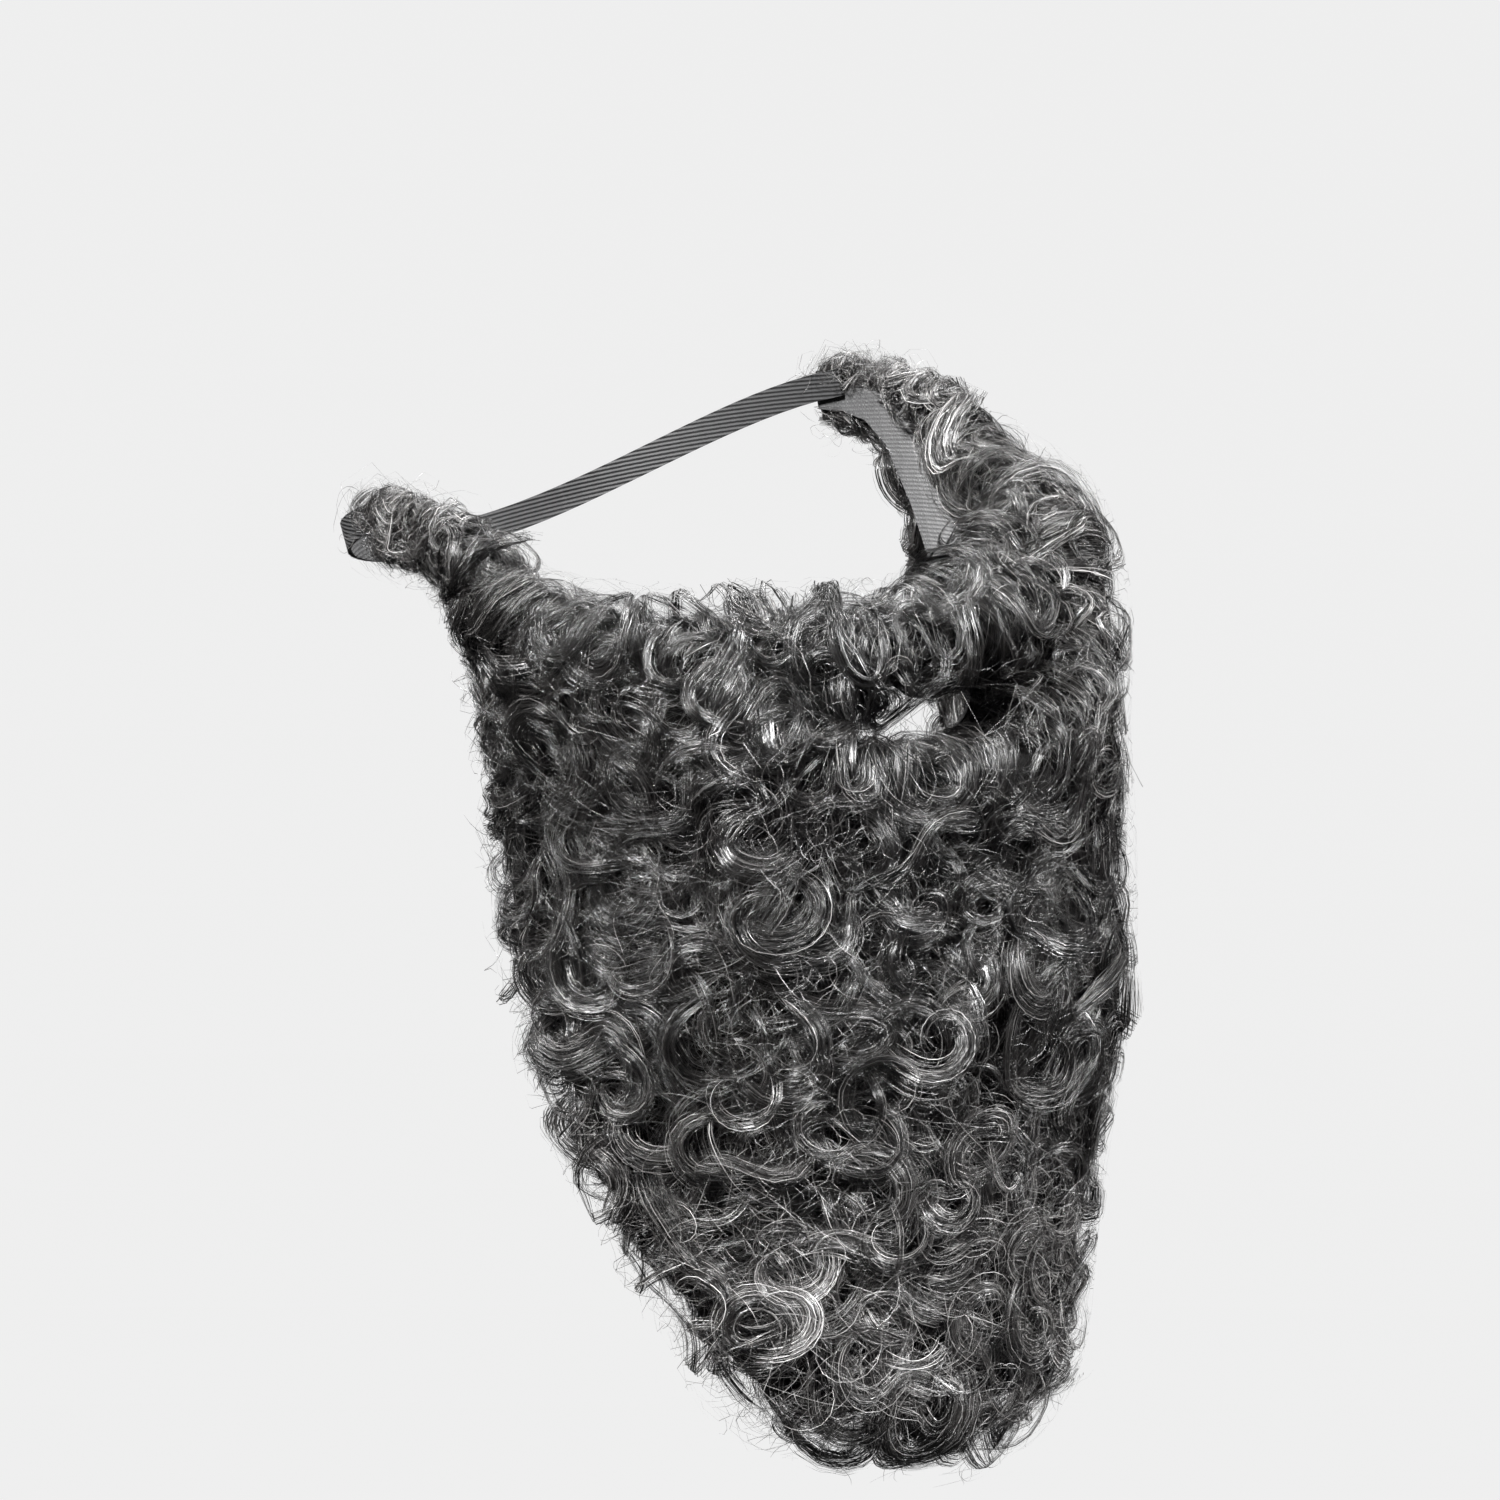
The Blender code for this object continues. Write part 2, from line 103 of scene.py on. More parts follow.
# Plumb fall below the jaw: outer plan section, another squared ellipse, and the wall's thickness
FallLevel = namedtuple("FallLevel", "height centre half_width back depth thickness")
FALL = (
    FallLevel(-285, 15, 60, -66, 54, 20),
    FallLevel(-265, 16, 70, -58, 64, 25),
    FallLevel(-240, 17, 78, -44, 80, 29),
    FallLevel(-200, 18, 84, -26, 102, 31),
    FallLevel(-150, 21, 92, -6, 132, 31),
    FallLevel(-110, 20, 92, 0, 141, 30),
    FallLevel(-60, 19, 90, 0, 143, 28),
)
CheekCorner = namedtuple("CheekCorner", "rise stand_off")
CHEEK_CORNERS = (CheekCorner(0.8, 0.5), CheekCorner(0.3, 0.88))
FallCorner = namedtuple("FallCorner", "drop inset")
OUTER_CORNERS = (
    FallCorner(0.08, 0),
    FallCorner(0.4, 0),
    FallCorner(0.72, 0),
    FallCorner(0.93, 0.06),
)
INNER_CORNERS = (
    FallCorner(1, 0.5),
    FallCorner(0.93, 0.94),
    FallCorner(0.6, 1),
    FallCorner(0.28, 1),
)
HAIR_END = 96
HAIR_ROOT = 2.3
JAW_SHARE = 0.75
STRIP_ANGLE = 71
STRIP_FADE = 9

MOUSTACHE_HALF_ANGLE = 34
MOUSTACHE_TOP = -62
MOUSTACHE_BOTTOM = -75
MOUSTACHE_THICKNESS = 20

# The mouth's opening in the hair, an ellipse in the head's frame that locks bend round
MOUTH_HEIGHT = -88.5
MOUTH_HALF_WIDTH = 18
MOUTH_HALF_HEIGHT = 6.5

# Kinds of lock: share among the curls and among the sweeps over cheeks and strips, length, bend
# per millimetre at root and tip, a wave's bend and length, half width, how far the lock rises
# off the hair, and the tilt of its curl
LockKind = namedtuple(
    "LockKind", "curls sweeps length root_bend tip_bend wave_bend wave half_width rise tilt"
)
BEARD_LOCKS = (
    LockKind(0.42, 0.10, 64, 0.050, 0.180, 0.00, 40, 4.4, 6.5, 0.40),
    LockKind(0.24, 0.10, 54, 0.080, 0.150, 0.01, 40, 4.8, 5.5, 0.35),
    LockKind(0.16, 0.36, 62, 0.010, 0.030, 0.11, 42, 4.6, 4.5, 0.22),
    LockKind(0.18, 0.44, 56, 0.015, 0.060, 0.03, 36, 5.6, 3.5, 0.20),
)
BEARD_WISPS = (
    LockKind(0.40, 0.20, 54, 0.070, 0.200, 0.00, 40, 2.0, 6.0, 0.35),
    LockKind(0.30, 0.42, 50, 0.020, 0.060, 0.14, 32, 2.2, 5.0, 0.25),
    LockKind(0.30, 0.38, 42, 0.035, 0.100, 0.03, 30, 2.6, 4.5, 0.25),
)
MOUSTACHE_LOCKS = (
    LockKind(0.44, 0.44, 44, 0.060, 0.200, 0.00, 30, 2.8, 6.5, 0.50),
    LockKind(0.28, 0.28, 36, 0.030, 0.120, 0.05, 26, 3.0, 5.0, 0.45),
    LockKind(0.28, 0.28, 38, 0.000, 0.040, 0.16, 27, 2.8, 5.0, 0.40),
)
MOUSTACHE_WISPS = (
    LockKind(0.50, 0.50, 42, 0.070, 0.220, 0.00, 30, 1.4, 6.0, 0.45),
    LockKind(0.50, 0.50, 36, 0.030, 0.080, 0.12, 26, 1.6, 5.5, 0.40),
)
# Bands of fine hairs that carry a lock: share of its width and length, arch, how far they lie
# off its line, and how closely hairs cover them in the middle and at the edges
Band = namedtuple("Band", "width reach arch lift middle_cover edge_cover")
UNDER_BAND = Band(0.95, 0.95, 0.30, -0.9, 0.62, 0.22)
OVER_BAND = Band(1.25, 1.00, 0.42, 0.4, 0.34, 0.12)
WISP_BAND = Band(1.30, 0.97, 0.35, -0.1, 0.46, 0.14)
STEPS_IN_LOCK = 48
ROOT_LIFT = -3.5
STRANDS_IN_LOCK = 14
STRANDS_IN_WISP = 5
STRANDS_INSIDE = 6
POINTS_IN_STRAND = 18
CROWDING = 0.45
ROUNDNESS = math.radians(60)
# How far a lock may hang past the upper edge, the tips and the ends of its side
OVER_TOP = 3.0
OVER_TIP = 8.0
OVER_END = 2.0
# Beside the mouth: the stretch of the beard's upper edge, in degrees, where wisps stand up further
MouthCorner = namedtuple("MouthCorner", "side first last")
MOUTH_CORNERS = (MouthCorner("right", -40, -15), MouthCorner("left", 15, 40))
CORNER_SIZE = 0.8
CORNER_OVER_TOP = 10.0
# How far past an edge, in columns or levels, a lock may still lie after it is moved inwards
LEFT_OVER = 3
# How high locks may stand off the outer and the inner side, and how far the mouth may push them
HIGHEST_OUTSIDE = 10.5
HIGHEST_INSIDE = 5.5
MOST_PUSHED = 9
# Least spacing of the locks and wisps where the hair is thick, and the seats that are tried
Spacing = namedtuple("Spacing", "apart tries")
LOCK_SPACING = Spacing(9.6, 12000)
WISP_SPACING = Spacing(7.2, 18000)
CORNER_SPACING = Spacing(5.5, 1500)
INNER_SPACING = Spacing(10.5, 4000)
MOUSTACHE_LOCK_SPACING = Spacing(7.0, 2500)
MOUSTACHE_WISP_SPACING = Spacing(5.2, 2500)
# Heights between which the beard's locks fall into an upper, a middle and a low piece
UPPER_TIER = -110
LOW_TIER = -190
# Widths of single hairs
STRAND_WIDTHS = (0.14, 0.27)
FINE_WIDTHS = (0.09, 0.15)
# Thickness of hair from which its locks have their full size
FULL_THICKNESS = 24

# Kinds of loose fine hair: share, length, bend per millimetre and how far it stands off the hair
FineKind = namedtuple("FineKind", "share length bend rise")
FINE_HAIRS = (
    FineKind(0.34, 18, 0.17, 4.0),
    FineKind(0.20, 26, 0.10, 5.0),
    FineKind(0.16, 34, 0.05, 5.5),
    FineKind(0.30, 22, 0.16, 10.0),
)
POINTS_IN_FINE_HAIR = 9
FRIZZ = (
    FineKind(0.60, 8, 0.16, 4.5),
    FineKind(0.40, 13, 0.20, 8.5),
)
POINTS_IN_FRIZZ = 5
# How many loose hairs are tried on each side of the hair
INNER_FINE_HAIRS = 1500
BEARD_FINE_HAIRS = 7800
BEARD_FRIZZ = 9000
MOUSTACHE_FINE_HAIRS = 900

# Camera: its turn round the part, and the point it looks at beside and below the origin
CAMERA_AZIMUTH = -33.0
CAMERA_DISTANCE = 2200
CAMERA_LENS = 184.8
AIM_RIGHT = 34.9
AIM_UP = -85.1
# Round soft lamps: direction in degrees, distance, size and power, and the point they light;
# and the strength of the light from all round
Lamp = namedtuple("Lamp", "name azimuth elevation distance size power")
LAMPS = (
    Lamp("key", -78, 44, 1500, 380, 104),
    Lamp("fill", 48, 28, 1600, 360, 96),
    Lamp("top", 150, 62, 1500, 500, 26),
)
LIT_POINT = (15.0, -70.0, -130.0)
AIR_LIGHT = 0.05

# Tones of single strands from 0 to 1, the shares of white and black ones, and how much the tone
# goes up low down, goes up at the ears and far cheek, and goes down round the mouth. The rise low
# down and at the ears and far cheek is partly lighter strands and partly painted backlight, as if
# light shone through the hair from behind
WHITE_TONE = 0.70
GREY_TONE = 0.34
BLACK_TONE = 0.06
WHITE_SHARE = 0.14
BLACK_SHARE = 0.52
LIGHTER_LOW = 0.33
LIGHTER_BESIDE = 0.15
DARKER_UPPER = 0.10


def turn_of_head():
    """The head's lean and tip-back as one 3x3 turn: about Y after about X."""
    lean, tip = -HEAD_LEAN, -HEAD_TIP_BACK
    about_y = np.array(
        [[math.cos(lean), 0, math.sin(lean)], [0, 1, 0], [-math.sin(lean), 0, math.cos(lean)]]
    )
    about_x = np.array(
        [[1, 0, 0], [0, math.cos(tip), -math.sin(tip)], [0, math.sin(tip), math.cos(tip)]]
    )
    return about_y @ about_x


HEAD_TURN = turn_of_head()


def smooth_through(x, stations, values):
    """Cubic pieces through the (station, value) pairs, for stations in rising order."""
    stations = np.asarray(stations, float)
    values = np.asarray(values, float)
    x = np.clip(np.asarray(x, float), stations[0], stations[-1])
    slopes = np.gradient(values, stations)
    i = np.clip(np.searchsorted(stations, x) - 1, 0, len(stations) - 2)
    step = stations[i + 1] - stations[i]
    t = (x - stations[i]) / step
    rise = t * t * (3 - 2 * t)
    return (
        values[i] * (1 - rise)
        + values[i + 1] * rise
        + step * slopes[i] * t * (1 - t) ** 2
        + step * slopes[i + 1] * t * t * (t - 1)
    )


def read(table, column, x):
    """A table's column at x, measured along the table's first column."""
    return smooth_through(x, [row[0] for row in table], [getattr(row, column) for row in table])


def smoothstep(t):
    t = np.clip(t, 0, 1)
    return t * t * (3 - 2 * t)


def unit(v):
    return v / np.maximum(np.linalg.norm(v, axis=-1, keepdims=True), 1e-9)


def squared_ellipse(angle, half_width, depth):
    """Plan points of a squared ellipse at the angle (degrees), and its outward normals.

    x = a sin^(2/p), y = -b cos^(2/p), each with its sign, for the squareness p.
    """
    s, c = np.sin(np.radians(angle)), np.cos(np.radians(angle))
    power = 2 / SQUARENESS
    x = half_width * np.sign(s) * np.abs(s) ** power
    y = -depth * np.sign(c) * np.abs(c) ** power
    slope = 2 - power
    normal = np.stack(
        [np.sign(s) * np.abs(s) ** slope / half_width, -np.sign(c) * np.abs(c) ** slope / depth], -1
    )
    return np.stack([x, y], -1), unit(normal)


def on_face(angle, height, offset):
    """Points on the worn face, in the part's frame, standing off the skin by the offset."""
    angle, height, offset = np.broadcast_arrays(*(np.asarray(a, float) for a in (angle, height, offset)))
    plan, normal = squared_ellipse(angle, read(FACE, "half_width", height), read(FACE, "depth", height))
    plan = plan + offset[..., None] * normal
    return np.concatenate([plan, height[..., None]], -1) @ HEAD_TURN.T


def in_fall(angle, height, inward):
    """Points on the plumb fall's outer face, or the given depth inside it."""
    angle, height, inward = np.broadcast_arrays(*(np.asarray(a, float) for a in (angle, height, inward)))
    plan, normal = squared_ellipse(angle, read(FALL, "half_width", height), read(FALL, "depth", height))
    plan = plan - inward[..., None] * normal
    plan[..., 0] += read(FALL, "centre", height)
    plan[..., 1] += read(FALL, "back", height)
    return np.concatenate([plan, height[..., None]], -1)


def hair_sections(angle):
    """Closed sections of the hair at the angles: up over the cheek, down outside, back up inside.

    Returns the corners as an array of sections, and how many of them lie on the outer side.
    """
    across = np.abs(angle)
    top = read(HAIR, "top", across)
    bottom = read(BACKING, "bottom", across)
    thick = read(HAIR, "thickness", across)
    jaw = top + JAW_SHARE * (np.minimum(bottom, top - 8) - top)
    strip = smoothstep((across - STRIP_ANGLE) / STRIP_FADE)
    left = angle > 0
    tip = np.where(left, read(HAIR, "tip_left", across), read(HAIR, "tip_right", across))
    puff = np.where(left, read(HAIR, "puff_left", across), read(HAIR, "puff_right", across))
    start = on_face(angle, jaw, thick)[..., 2]
    share = strip[:, None]

    def below(corner):
        """A corner of the fall, which turns into the strip's lower edge towards the ear."""
        height = start + corner.drop * (tip - start)
        wall = read(FALL, "thickness", height) * (0.72 + 0.28 * np.cos(np.radians(angle)))
        hanging = in_fall(angle, height, corner.inset * wall)
        stand_off = np.maximum(thick * (1 - corner.inset), HAIR_ROOT)
        edge = on_face(angle, bottom + 3 - 7 * corner.drop, stand_off)
        return hanging * (1 - share) + edge * share

    under_jaw = (
        on_face(angle, bottom - 3, HAIR_ROOT) * (1 - share) + on_face(angle, bottom - 2, HAIR_ROOT) * share
    )
    outer = [
        on_face(angle, top - 1, HAIR_ROOT + 0.5),
        *(on_face(angle, top + at.rise * puff, at.stand_off * thick) for at in CHEEK_CORNERS),
        on_face(angle, top + 0.4 * (jaw - top), thick),
        *(below(corner) for corner in OUTER_CORNERS),
    ]
    inner = [
        *(below(corner) for corner in INNER_CORNERS),
        under_jaw,
        on_face(angle, bottom + 2, HAIR_ROOT),
        on_face(angle, 0.5 * (bottom + top), HAIR_ROOT),
        on_face(angle, top - 2, HAIR_ROOT),
    ]
    return np.stack(outer + inner, 1), len(outer)


def moustache_sections(angle):
    """Closed sections of the moustache at the angles, and how many corners are on the outer side."""
    taper = np.sqrt(np.maximum(0.12, 1 - (np.abs(angle) / (MOUSTACHE_HALF_ANGLE + 3)) ** 2))
    thick = MOUSTACHE_THICKNESS * (0.55 + 0.45 * taper)
    top = MOUSTACHE_TOP + 11 * smoothstep(np.abs(angle) / MOUSTACHE_HALF_ANGLE)
    bottom = MOUSTACHE_BOTTOM - 3 * smoothstep((np.abs(angle) - 12) / 14)
    outer = [
        on_face(angle, top, HAIR_ROOT + 0.5),
        on_face(angle, top + 3, 0.5 * thick),
        on_face(angle, 0.7 * top + 0.3 * bottom, thick),
        on_face(angle, bottom + 2, 0.95 * thick),
        on_face(angle, bottom - 2, 0.6 * thick),
    ]
    inner = [
        on_face(angle, bottom + 1, 0.25 * thick),
        on_face(angle, bottom + 3, HAIR_ROOT),
        on_face(angle, top - 2, HAIR_ROOT),
    ]
    return np.stack(outer + inner, 1), len(outer)


def along_corners(corners, x):
    """Points at the places x on smooth curves through each section's corners."""
    station = np.arange(corners.shape[1])
    return np.stack(
        [
            np.stack([smooth_through(x, station, section[:, axis]) for axis in range(3)], -1)
            for section in corners
        ]
    )


def closed_rings(corners, count):
    """The given number of points on a smooth closed curve through each section's corners."""
    around = np.concatenate([corners[:, -3:], corners, corners[:, :4]], 1)
    return along_corners(around, 3 + np.linspace(0, corners.shape[1], count, endpoint=False))


def even_grid(corners, first, last, count):
    """Each section from place first to place last as points at equal steps of its length."""
    lines = along_corners(corners, np.linspace(first, last, 240))
    rows = []
    for line in lines:
        along = np.concatenate([[0], np.cumsum(np.linalg.norm(np.diff(line, axis=0), axis=1))])
        even = np.linspace(0, along[-1], count)
        rows.append(np.stack([np.interp(even, along, line[:, axis]) for axis in range(3)], -1))
    return np.array(rows)


class HairSide:
    """One side of a body of hair: a grid of points with the directions across, down and out.

    Down is the grid's slope along its levels, across is its slope along its columns less what of
    that runs down (the slip), and out is their cross product.
    """

    def __init__(self, grid, size, outward, highest=HIGHEST_OUTSIDE, over_top=OVER_TOP):
        self.points = grid
        self.highest = highest
        self.over_top = over_top
        self.columns, self.levels = grid.shape[:2]
        self.size = np.repeat(size[:, None], self.levels, 1)
        down = np.gradient(grid, axis=1)
        across = np.gradient(grid, axis=0)
        self.down = unit(down)
        self.slip = (across * self.down).sum(-1)
        self.across = unit(across - self.down * self.slip[..., None])
        self.wide = np.maximum((across * self.across).sum(-1), 0.35)
        self.tall = np.maximum(np.linalg.norm(down, axis=-1), 0.35)
        out = np.cross(self.across, self.down)
        away = grid - grid.mean(axis=(0, 1))
        facing = (out * away).sum(-1).mean() > 0
        self.out = out if facing == outward else -out

    def at(self, field, column, level, free=False):
        """A field of the grid between its points, and past its edges in a straight line if free."""
        i = np.clip(np.floor(column).astype(int), 0, self.columns - 2)
        j = np.clip(np.floor(level).astype(int), 0, self.levels - 2)
        u, v = column - i, level - j
        if not free:
            u, v = np.clip(u, 0, 1), np.clip(v, 0, 1)
        if field.ndim == 3:
            u, v = u[..., None], v[..., None]
        near = field[i, j] * (1 - u) + field[i + 1, j] * u
        far = field[i, j + 1] * (1 - u) + field[i + 1, j + 1] * u
        return near * (1 - v) + far * v

    def moved(self, column, level, across, down):
        """The place reached from a column and level by short distances across and down."""
        columns = across / self.at(self.wide, column, level)
        slipped = down - columns * self.at(self.slip, column, level)
        return column + columns, level + slipped / self.at(self.tall, column, level)

    def walked(self, column, level, heading, step):
        """The columns and levels of paths that take equal steps along their changing headings."""
        path = [(column, level)]
        for turn in heading.T[:-1]:
            path.append(self.moved(*path[-1], step * np.sin(turn), step * np.cos(turn)))
        columns, levels = np.array(path).transpose(1, 2, 0)
        return columns, levels

    def overhang(self, column, level, columns, levels):
        """How far paths run past the side's edges, in columns and levels, past what they may."""
        tall = self.at(self.tall, column, level)
        wide = self.at(self.wide, column, level)
        above = np.maximum(0, -self.over_top / tall - levels.min(1))
        below = np.maximum(0, levels.max(1) - (self.levels - 1) - OVER_TIP / tall)
        right = np.maximum(0, -OVER_END / wide - columns.min(1))
        left = np.maximum(0, columns.max(1) - (self.columns - 1) - OVER_END / wide)
        return right - left, above - below


def scattered(side, spacing, first, last, chance):
    """Seats on a side, no two closer than the spacing times the local size; (column, level) pairs."""
    column = chance.uniform(0.5, side.columns - 1.5, spacing.tries)
    level = first + chance.uniform(0, 1, spacing.tries) * (last * (side.levels - 1) - first)
    places = side.at(side.points, column, level)
    apart = spacing.apart * side.at(side.size, column, level)
    kept = np.empty((0, 3))
    taken = []
    for k, place in enumerate(places):
        if len(kept) == 0 or ((kept - place) ** 2).sum(1).min() > apart[k] ** 2:
            kept = np.vstack([kept, place])
            taken.append(k)
    return column[taken], level[taken]


def round_mouth(points):
    """Points pushed out of the mouth's opening: a distance r from its middle becomes (1 + r^4)^(1/4).

    The distance is counted in half widths and half heights of the ellipse, in the head's frame.
    """
    in_head = points @ HEAD_TURN
    wide = in_head[..., 0] / MOUTH_HALF_WIDTH
    tall = (in_head[..., 2] - MOUTH_HEIGHT) / MOUTH_HALF_HEIGHT
    reach = np.maximum(np.hypot(wide, tall), 0.02)
    push = (1 + reach**4) ** 0.25 / reach
    push = np.where((reach < 3) & (in_head[..., 1] < -75), push, 1)
    moved = np.stack(
        [wide * push * MOUTH_HALF_WIDTH, in_head[..., 1], MOUTH_HEIGHT + tall * push * MOUTH_HALF_HEIGHT],
        -1,
    )
    return moved @ HEAD_TURN.T


def sweep_share(places):
    """How far the locks at these places sweep sideways instead of curling: cheeks and strips do."""
    cheek = smoothstep((places[:, 2] + 150) / 45)
    strip = smoothstep((places[:, 1] + 60) / 40) * smoothstep((places[:, 2] + 110) / 50)
    return np.maximum(0.8 * cheek, strip)


Locks = namedtuple("Locks", "line aside out lift half_width lightness size")


def grow_locks(side, seats, kinds, chance):
    """Locks on a side of the hair, as centre lines with the directions of their flat sections.

    The heading is the running sum of the bend along the lock. The bend grows from the root's to
    the tip's with the length's 1.4th power, to one side by chance, plus a sine wave. The lock
    rises from under the hair at its root, which goes less deep where the hair is thin. It tilts
    as a plane, and its flat section turns about it.
    """
    column, level = seats
    count = len(column)
    size = side.at(side.size, column, level)
    sweep = sweep_share(side.at(side.points, column, level))[:, None]
    shares = np.array(kinds)
    shares = np.cumsum(shares[:, 0] * (1 - sweep) + shares[:, 1] * sweep, axis=1)
    pick = (chance.random((count, 1)) > shares[:, :-1]).sum(1)
    kind = LockKind(*np.array(kinds)[pick].T[..., None])
    t = np.linspace(0, 1, STEPS_IN_LOCK)[None, :]
    scale = size[:, None]
    step = kind.length * scale * chance.uniform(0.85, 1.15, (count, 1)) / (STEPS_IN_LOCK - 1)
    hand = chance.choice((-1.0, 1.0), (count, 1))
    bend = kind.root_bend + (kind.tip_bend - kind.root_bend) * t**1.4
    wave = np.sin(2 * math.pi * (t * kind.length / kind.wave + chance.random((count, 1))))
    bend = (hand * bend * chance.uniform(0.78, 1.25, (count, 1)) + kind.wave_bend * wave) / scale
    sideways = chance.choice((-0.5, 0.5), (count, 1)) * math.pi
    start = sweep * sideways + (1.2 - 0.7 * sweep) * chance.normal(0, 1, (count, 1))
    heading = start + np.cumsum(bend * step, axis=1)
    across = np.cumsum(np.sin(heading) * step, axis=1)
    down = np.cumsum(np.cos(heading) * step, axis=1)
    curl = slice(STEPS_IN_LOCK // 3, None)
    across -= across[:, curl].mean(1, keepdims=True)
    down -= down[:, curl].mean(1, keepdims=True)
    start = side.moved(column, level, across[:, 0], down[:, 0])
    c, v = side.walked(*start, heading, step[:, 0])
    inward = side.overhang(column, level, c, v)
    start = (start[0] + inward[0], start[1] + inward[1])
    c, v = side.walked(*start, heading, step[:, 0])
    left_over = side.overhang(column, level, c, v)
    inside = (np.abs(left_over[0]) < LEFT_OVER) & (np.abs(left_over[1]) < LEFT_OVER)
    rise = kind.rise * scale * chance.uniform(0.1, 1.7, (count, 1))
    lift = ROOT_LIFT + (rise - ROOT_LIFT) * smoothstep(t * 2.6)
    lift = lift - 1.5 * smoothstep((t - 0.75) / 0.25)
    lean = chance.uniform(0, 2 * math.pi, (count, 1))
    tilt = kind.tilt * chance.normal(0, 1, (count, 1))
    lift = lift + tilt * (across * np.cos(lean) + down * np.sin(lean))
    depth = np.minimum(0.25 * np.maximum(v, 0), 11 * (side.at(side.size, c, v) - 0.5))
    lift = np.clip(lift, -0.5 - depth, side.highest)
    out = unit(side.at(side.out, c, v))
    laid = side.at(side.points, c, v, free=True)
    strayed = np.linalg.norm(laid - side.at(side.points, c, v), axis=-1)
    inside &= (strayed < np.where(v < 0, side.over_top + 1.5, OVER_TIP + 3)).all(1)
    laid = laid + lift[..., None] * out
    line = round_mouth(laid)
    inside &= np.linalg.norm(line - laid, axis=-1).max(1) < MOST_PUSHED
    along = unit(np.gradient(line, axis=1))
    aside = unit(np.cross(along, out))
    out = np.cross(aside, along)
    roll = chance.normal(0, 0.35, (count, 1)) + chance.normal(0, 0.5, (count, 1)) * np.sin(
        math.pi * t + chance.uniform(0, math.pi, (count, 1))
    )
    roll = roll[..., None]
    aside, out = (
        aside * np.cos(roll) + out * np.sin(roll),
        out * np.cos(roll) - aside * np.sin(roll),
    )
    half_width = kind.half_width * scale * chance.uniform(0.7, 1.35, (count, 1))
    made = Locks(line, aside, out, lift, half_width, chance.normal(0, 1, count), size)
    return chosen(made, inside)


def chosen(locks, mask):
    return Locks(*(value[mask] for value in locks))


def lock_width(t):
    """Share of a lock's full width along its length: narrow root, full middle, pointed tip."""
    return (0.5 + 0.5 * smoothstep(t / 0.25)) * (1 - 0.62 * smoothstep((t - 0.55) / 0.45))


def crowded(points):
    """Places from 0 to 1 along a strand, closer together towards its curled tip."""
    t = np.linspace(0, 1, points)
    return (1 + CROWDING) * t - CROWDING * t**2


def along_lock(locks, t):
    """Line, aside, out and lift of each lock at the places t, whose first axis is the locks."""
    place = np.clip(t, 0, 1) * (STEPS_IN_LOCK - 1)
    i = np.clip(np.floor(place).astype(int), 0, STEPS_IN_LOCK - 2)
    u = (place - i)[..., None]
    lock = np.arange(len(t)).reshape((-1,) + (1,) * (t.ndim - 1))
    fields = (locks.line, locks.aside, locks.out, locks.lift[..., None])
    return [field[lock, i] * (1 - u) + field[lock, i + 1] * u for field in fields]


def painted_depth_shade(lift):
    """Painted shade: how much of its tone a hair keeps, the ones deep among the others darkened as if in
    their shadow.
    """
    return 0.35 + 0.65 * smoothstep((lift + 1) / 6)


def strands_of(locks, strands, chance):
    """Strands of each lock: its line moved aside and out, each strand in a way of its own.

    The place in the lock's section is a low arch. To that come a slow sine of chance phase and a
    parting from the lock that grows with the length's 1.6th power, three times as far for strays.
    """
    count = len(locks.line)
    shape = (count, strands, 1)
    t = crowded(POINTS_IN_STRAND) * chance.uniform(0.72, 1.0, shape)
    line, aside, out, lift = along_lock(locks, t)
    scale = locks.size[:, None, None]
    seat = chance.uniform(-1, 1, shape)
    width = locks.half_width[..., None] * lock_width(t)
    depth = 0.42 * np.sqrt(1 - seat**2) * width * chance.uniform(0.1, 1.0, shape)
    stray = np.where(chance.random(shape) < 0.22, 3.2, 1.0)
    turns = chance.uniform(0.5, 1.7, shape)
    wobble = 0.32 * stray * scale * (0.3 + 0.7 * t)
    parting = stray * scale * t**1.6
    sideways = seat * width + parting * chance.normal(0, 0.9, shape)
    sideways = sideways + wobble * np.sin(2 * math.pi * (turns * t + chance.random(shape)))
    outwards = depth + parting * chance.normal(0.1, 0.6, shape)
    outwards = outwards + wobble * np.sin(2 * math.pi * (turns * t + chance.random(shape)))
    line = line + sideways[..., None] * aside + outwards[..., None] * out
    out = unit(out + 0.5 * seat[..., None] * aside)
    # Painted shade darkens the strands that lie deep in the hair
    tone = strand_tones(locks, strands, chance)[..., None] * painted_depth_shade(lift[..., 0] + outwards)
    half = 0.5 * chance.uniform(*STRAND_WIDTHS, shape[:2])
    flat = (-1, POINTS_IN_STRAND, 3)
    return line.reshape(flat), out.reshape(flat), half.reshape(-1), tone.reshape(flat[:2])


def place_tone_and_backlight(line):
    """How much lighter the tone is where each lock lies: light low down, at the ears and far cheek, partly
    lighter strands and partly painted backlight; darker higher up away from the ears and cheek.
    """
    middle = line[:, line.shape[1] // 2]
    low = smoothstep((-150 - middle[:, 2]) / 110)
    ears = smoothstep((middle[:, 1] + 62) / 50) * smoothstep((middle[:, 2] + 110) / 60)
    cheek = smoothstep((middle[:, 0] - 40) / 30) * smoothstep((middle[:, 2] + 130) / 60)
    upper = smoothstep((middle[:, 2] + 175) / 80) * (1 - np.maximum(ears, cheek))
    return LIGHTER_LOW * low + LIGHTER_BESIDE * np.maximum(ears, cheek) - DARKER_UPPER * upper


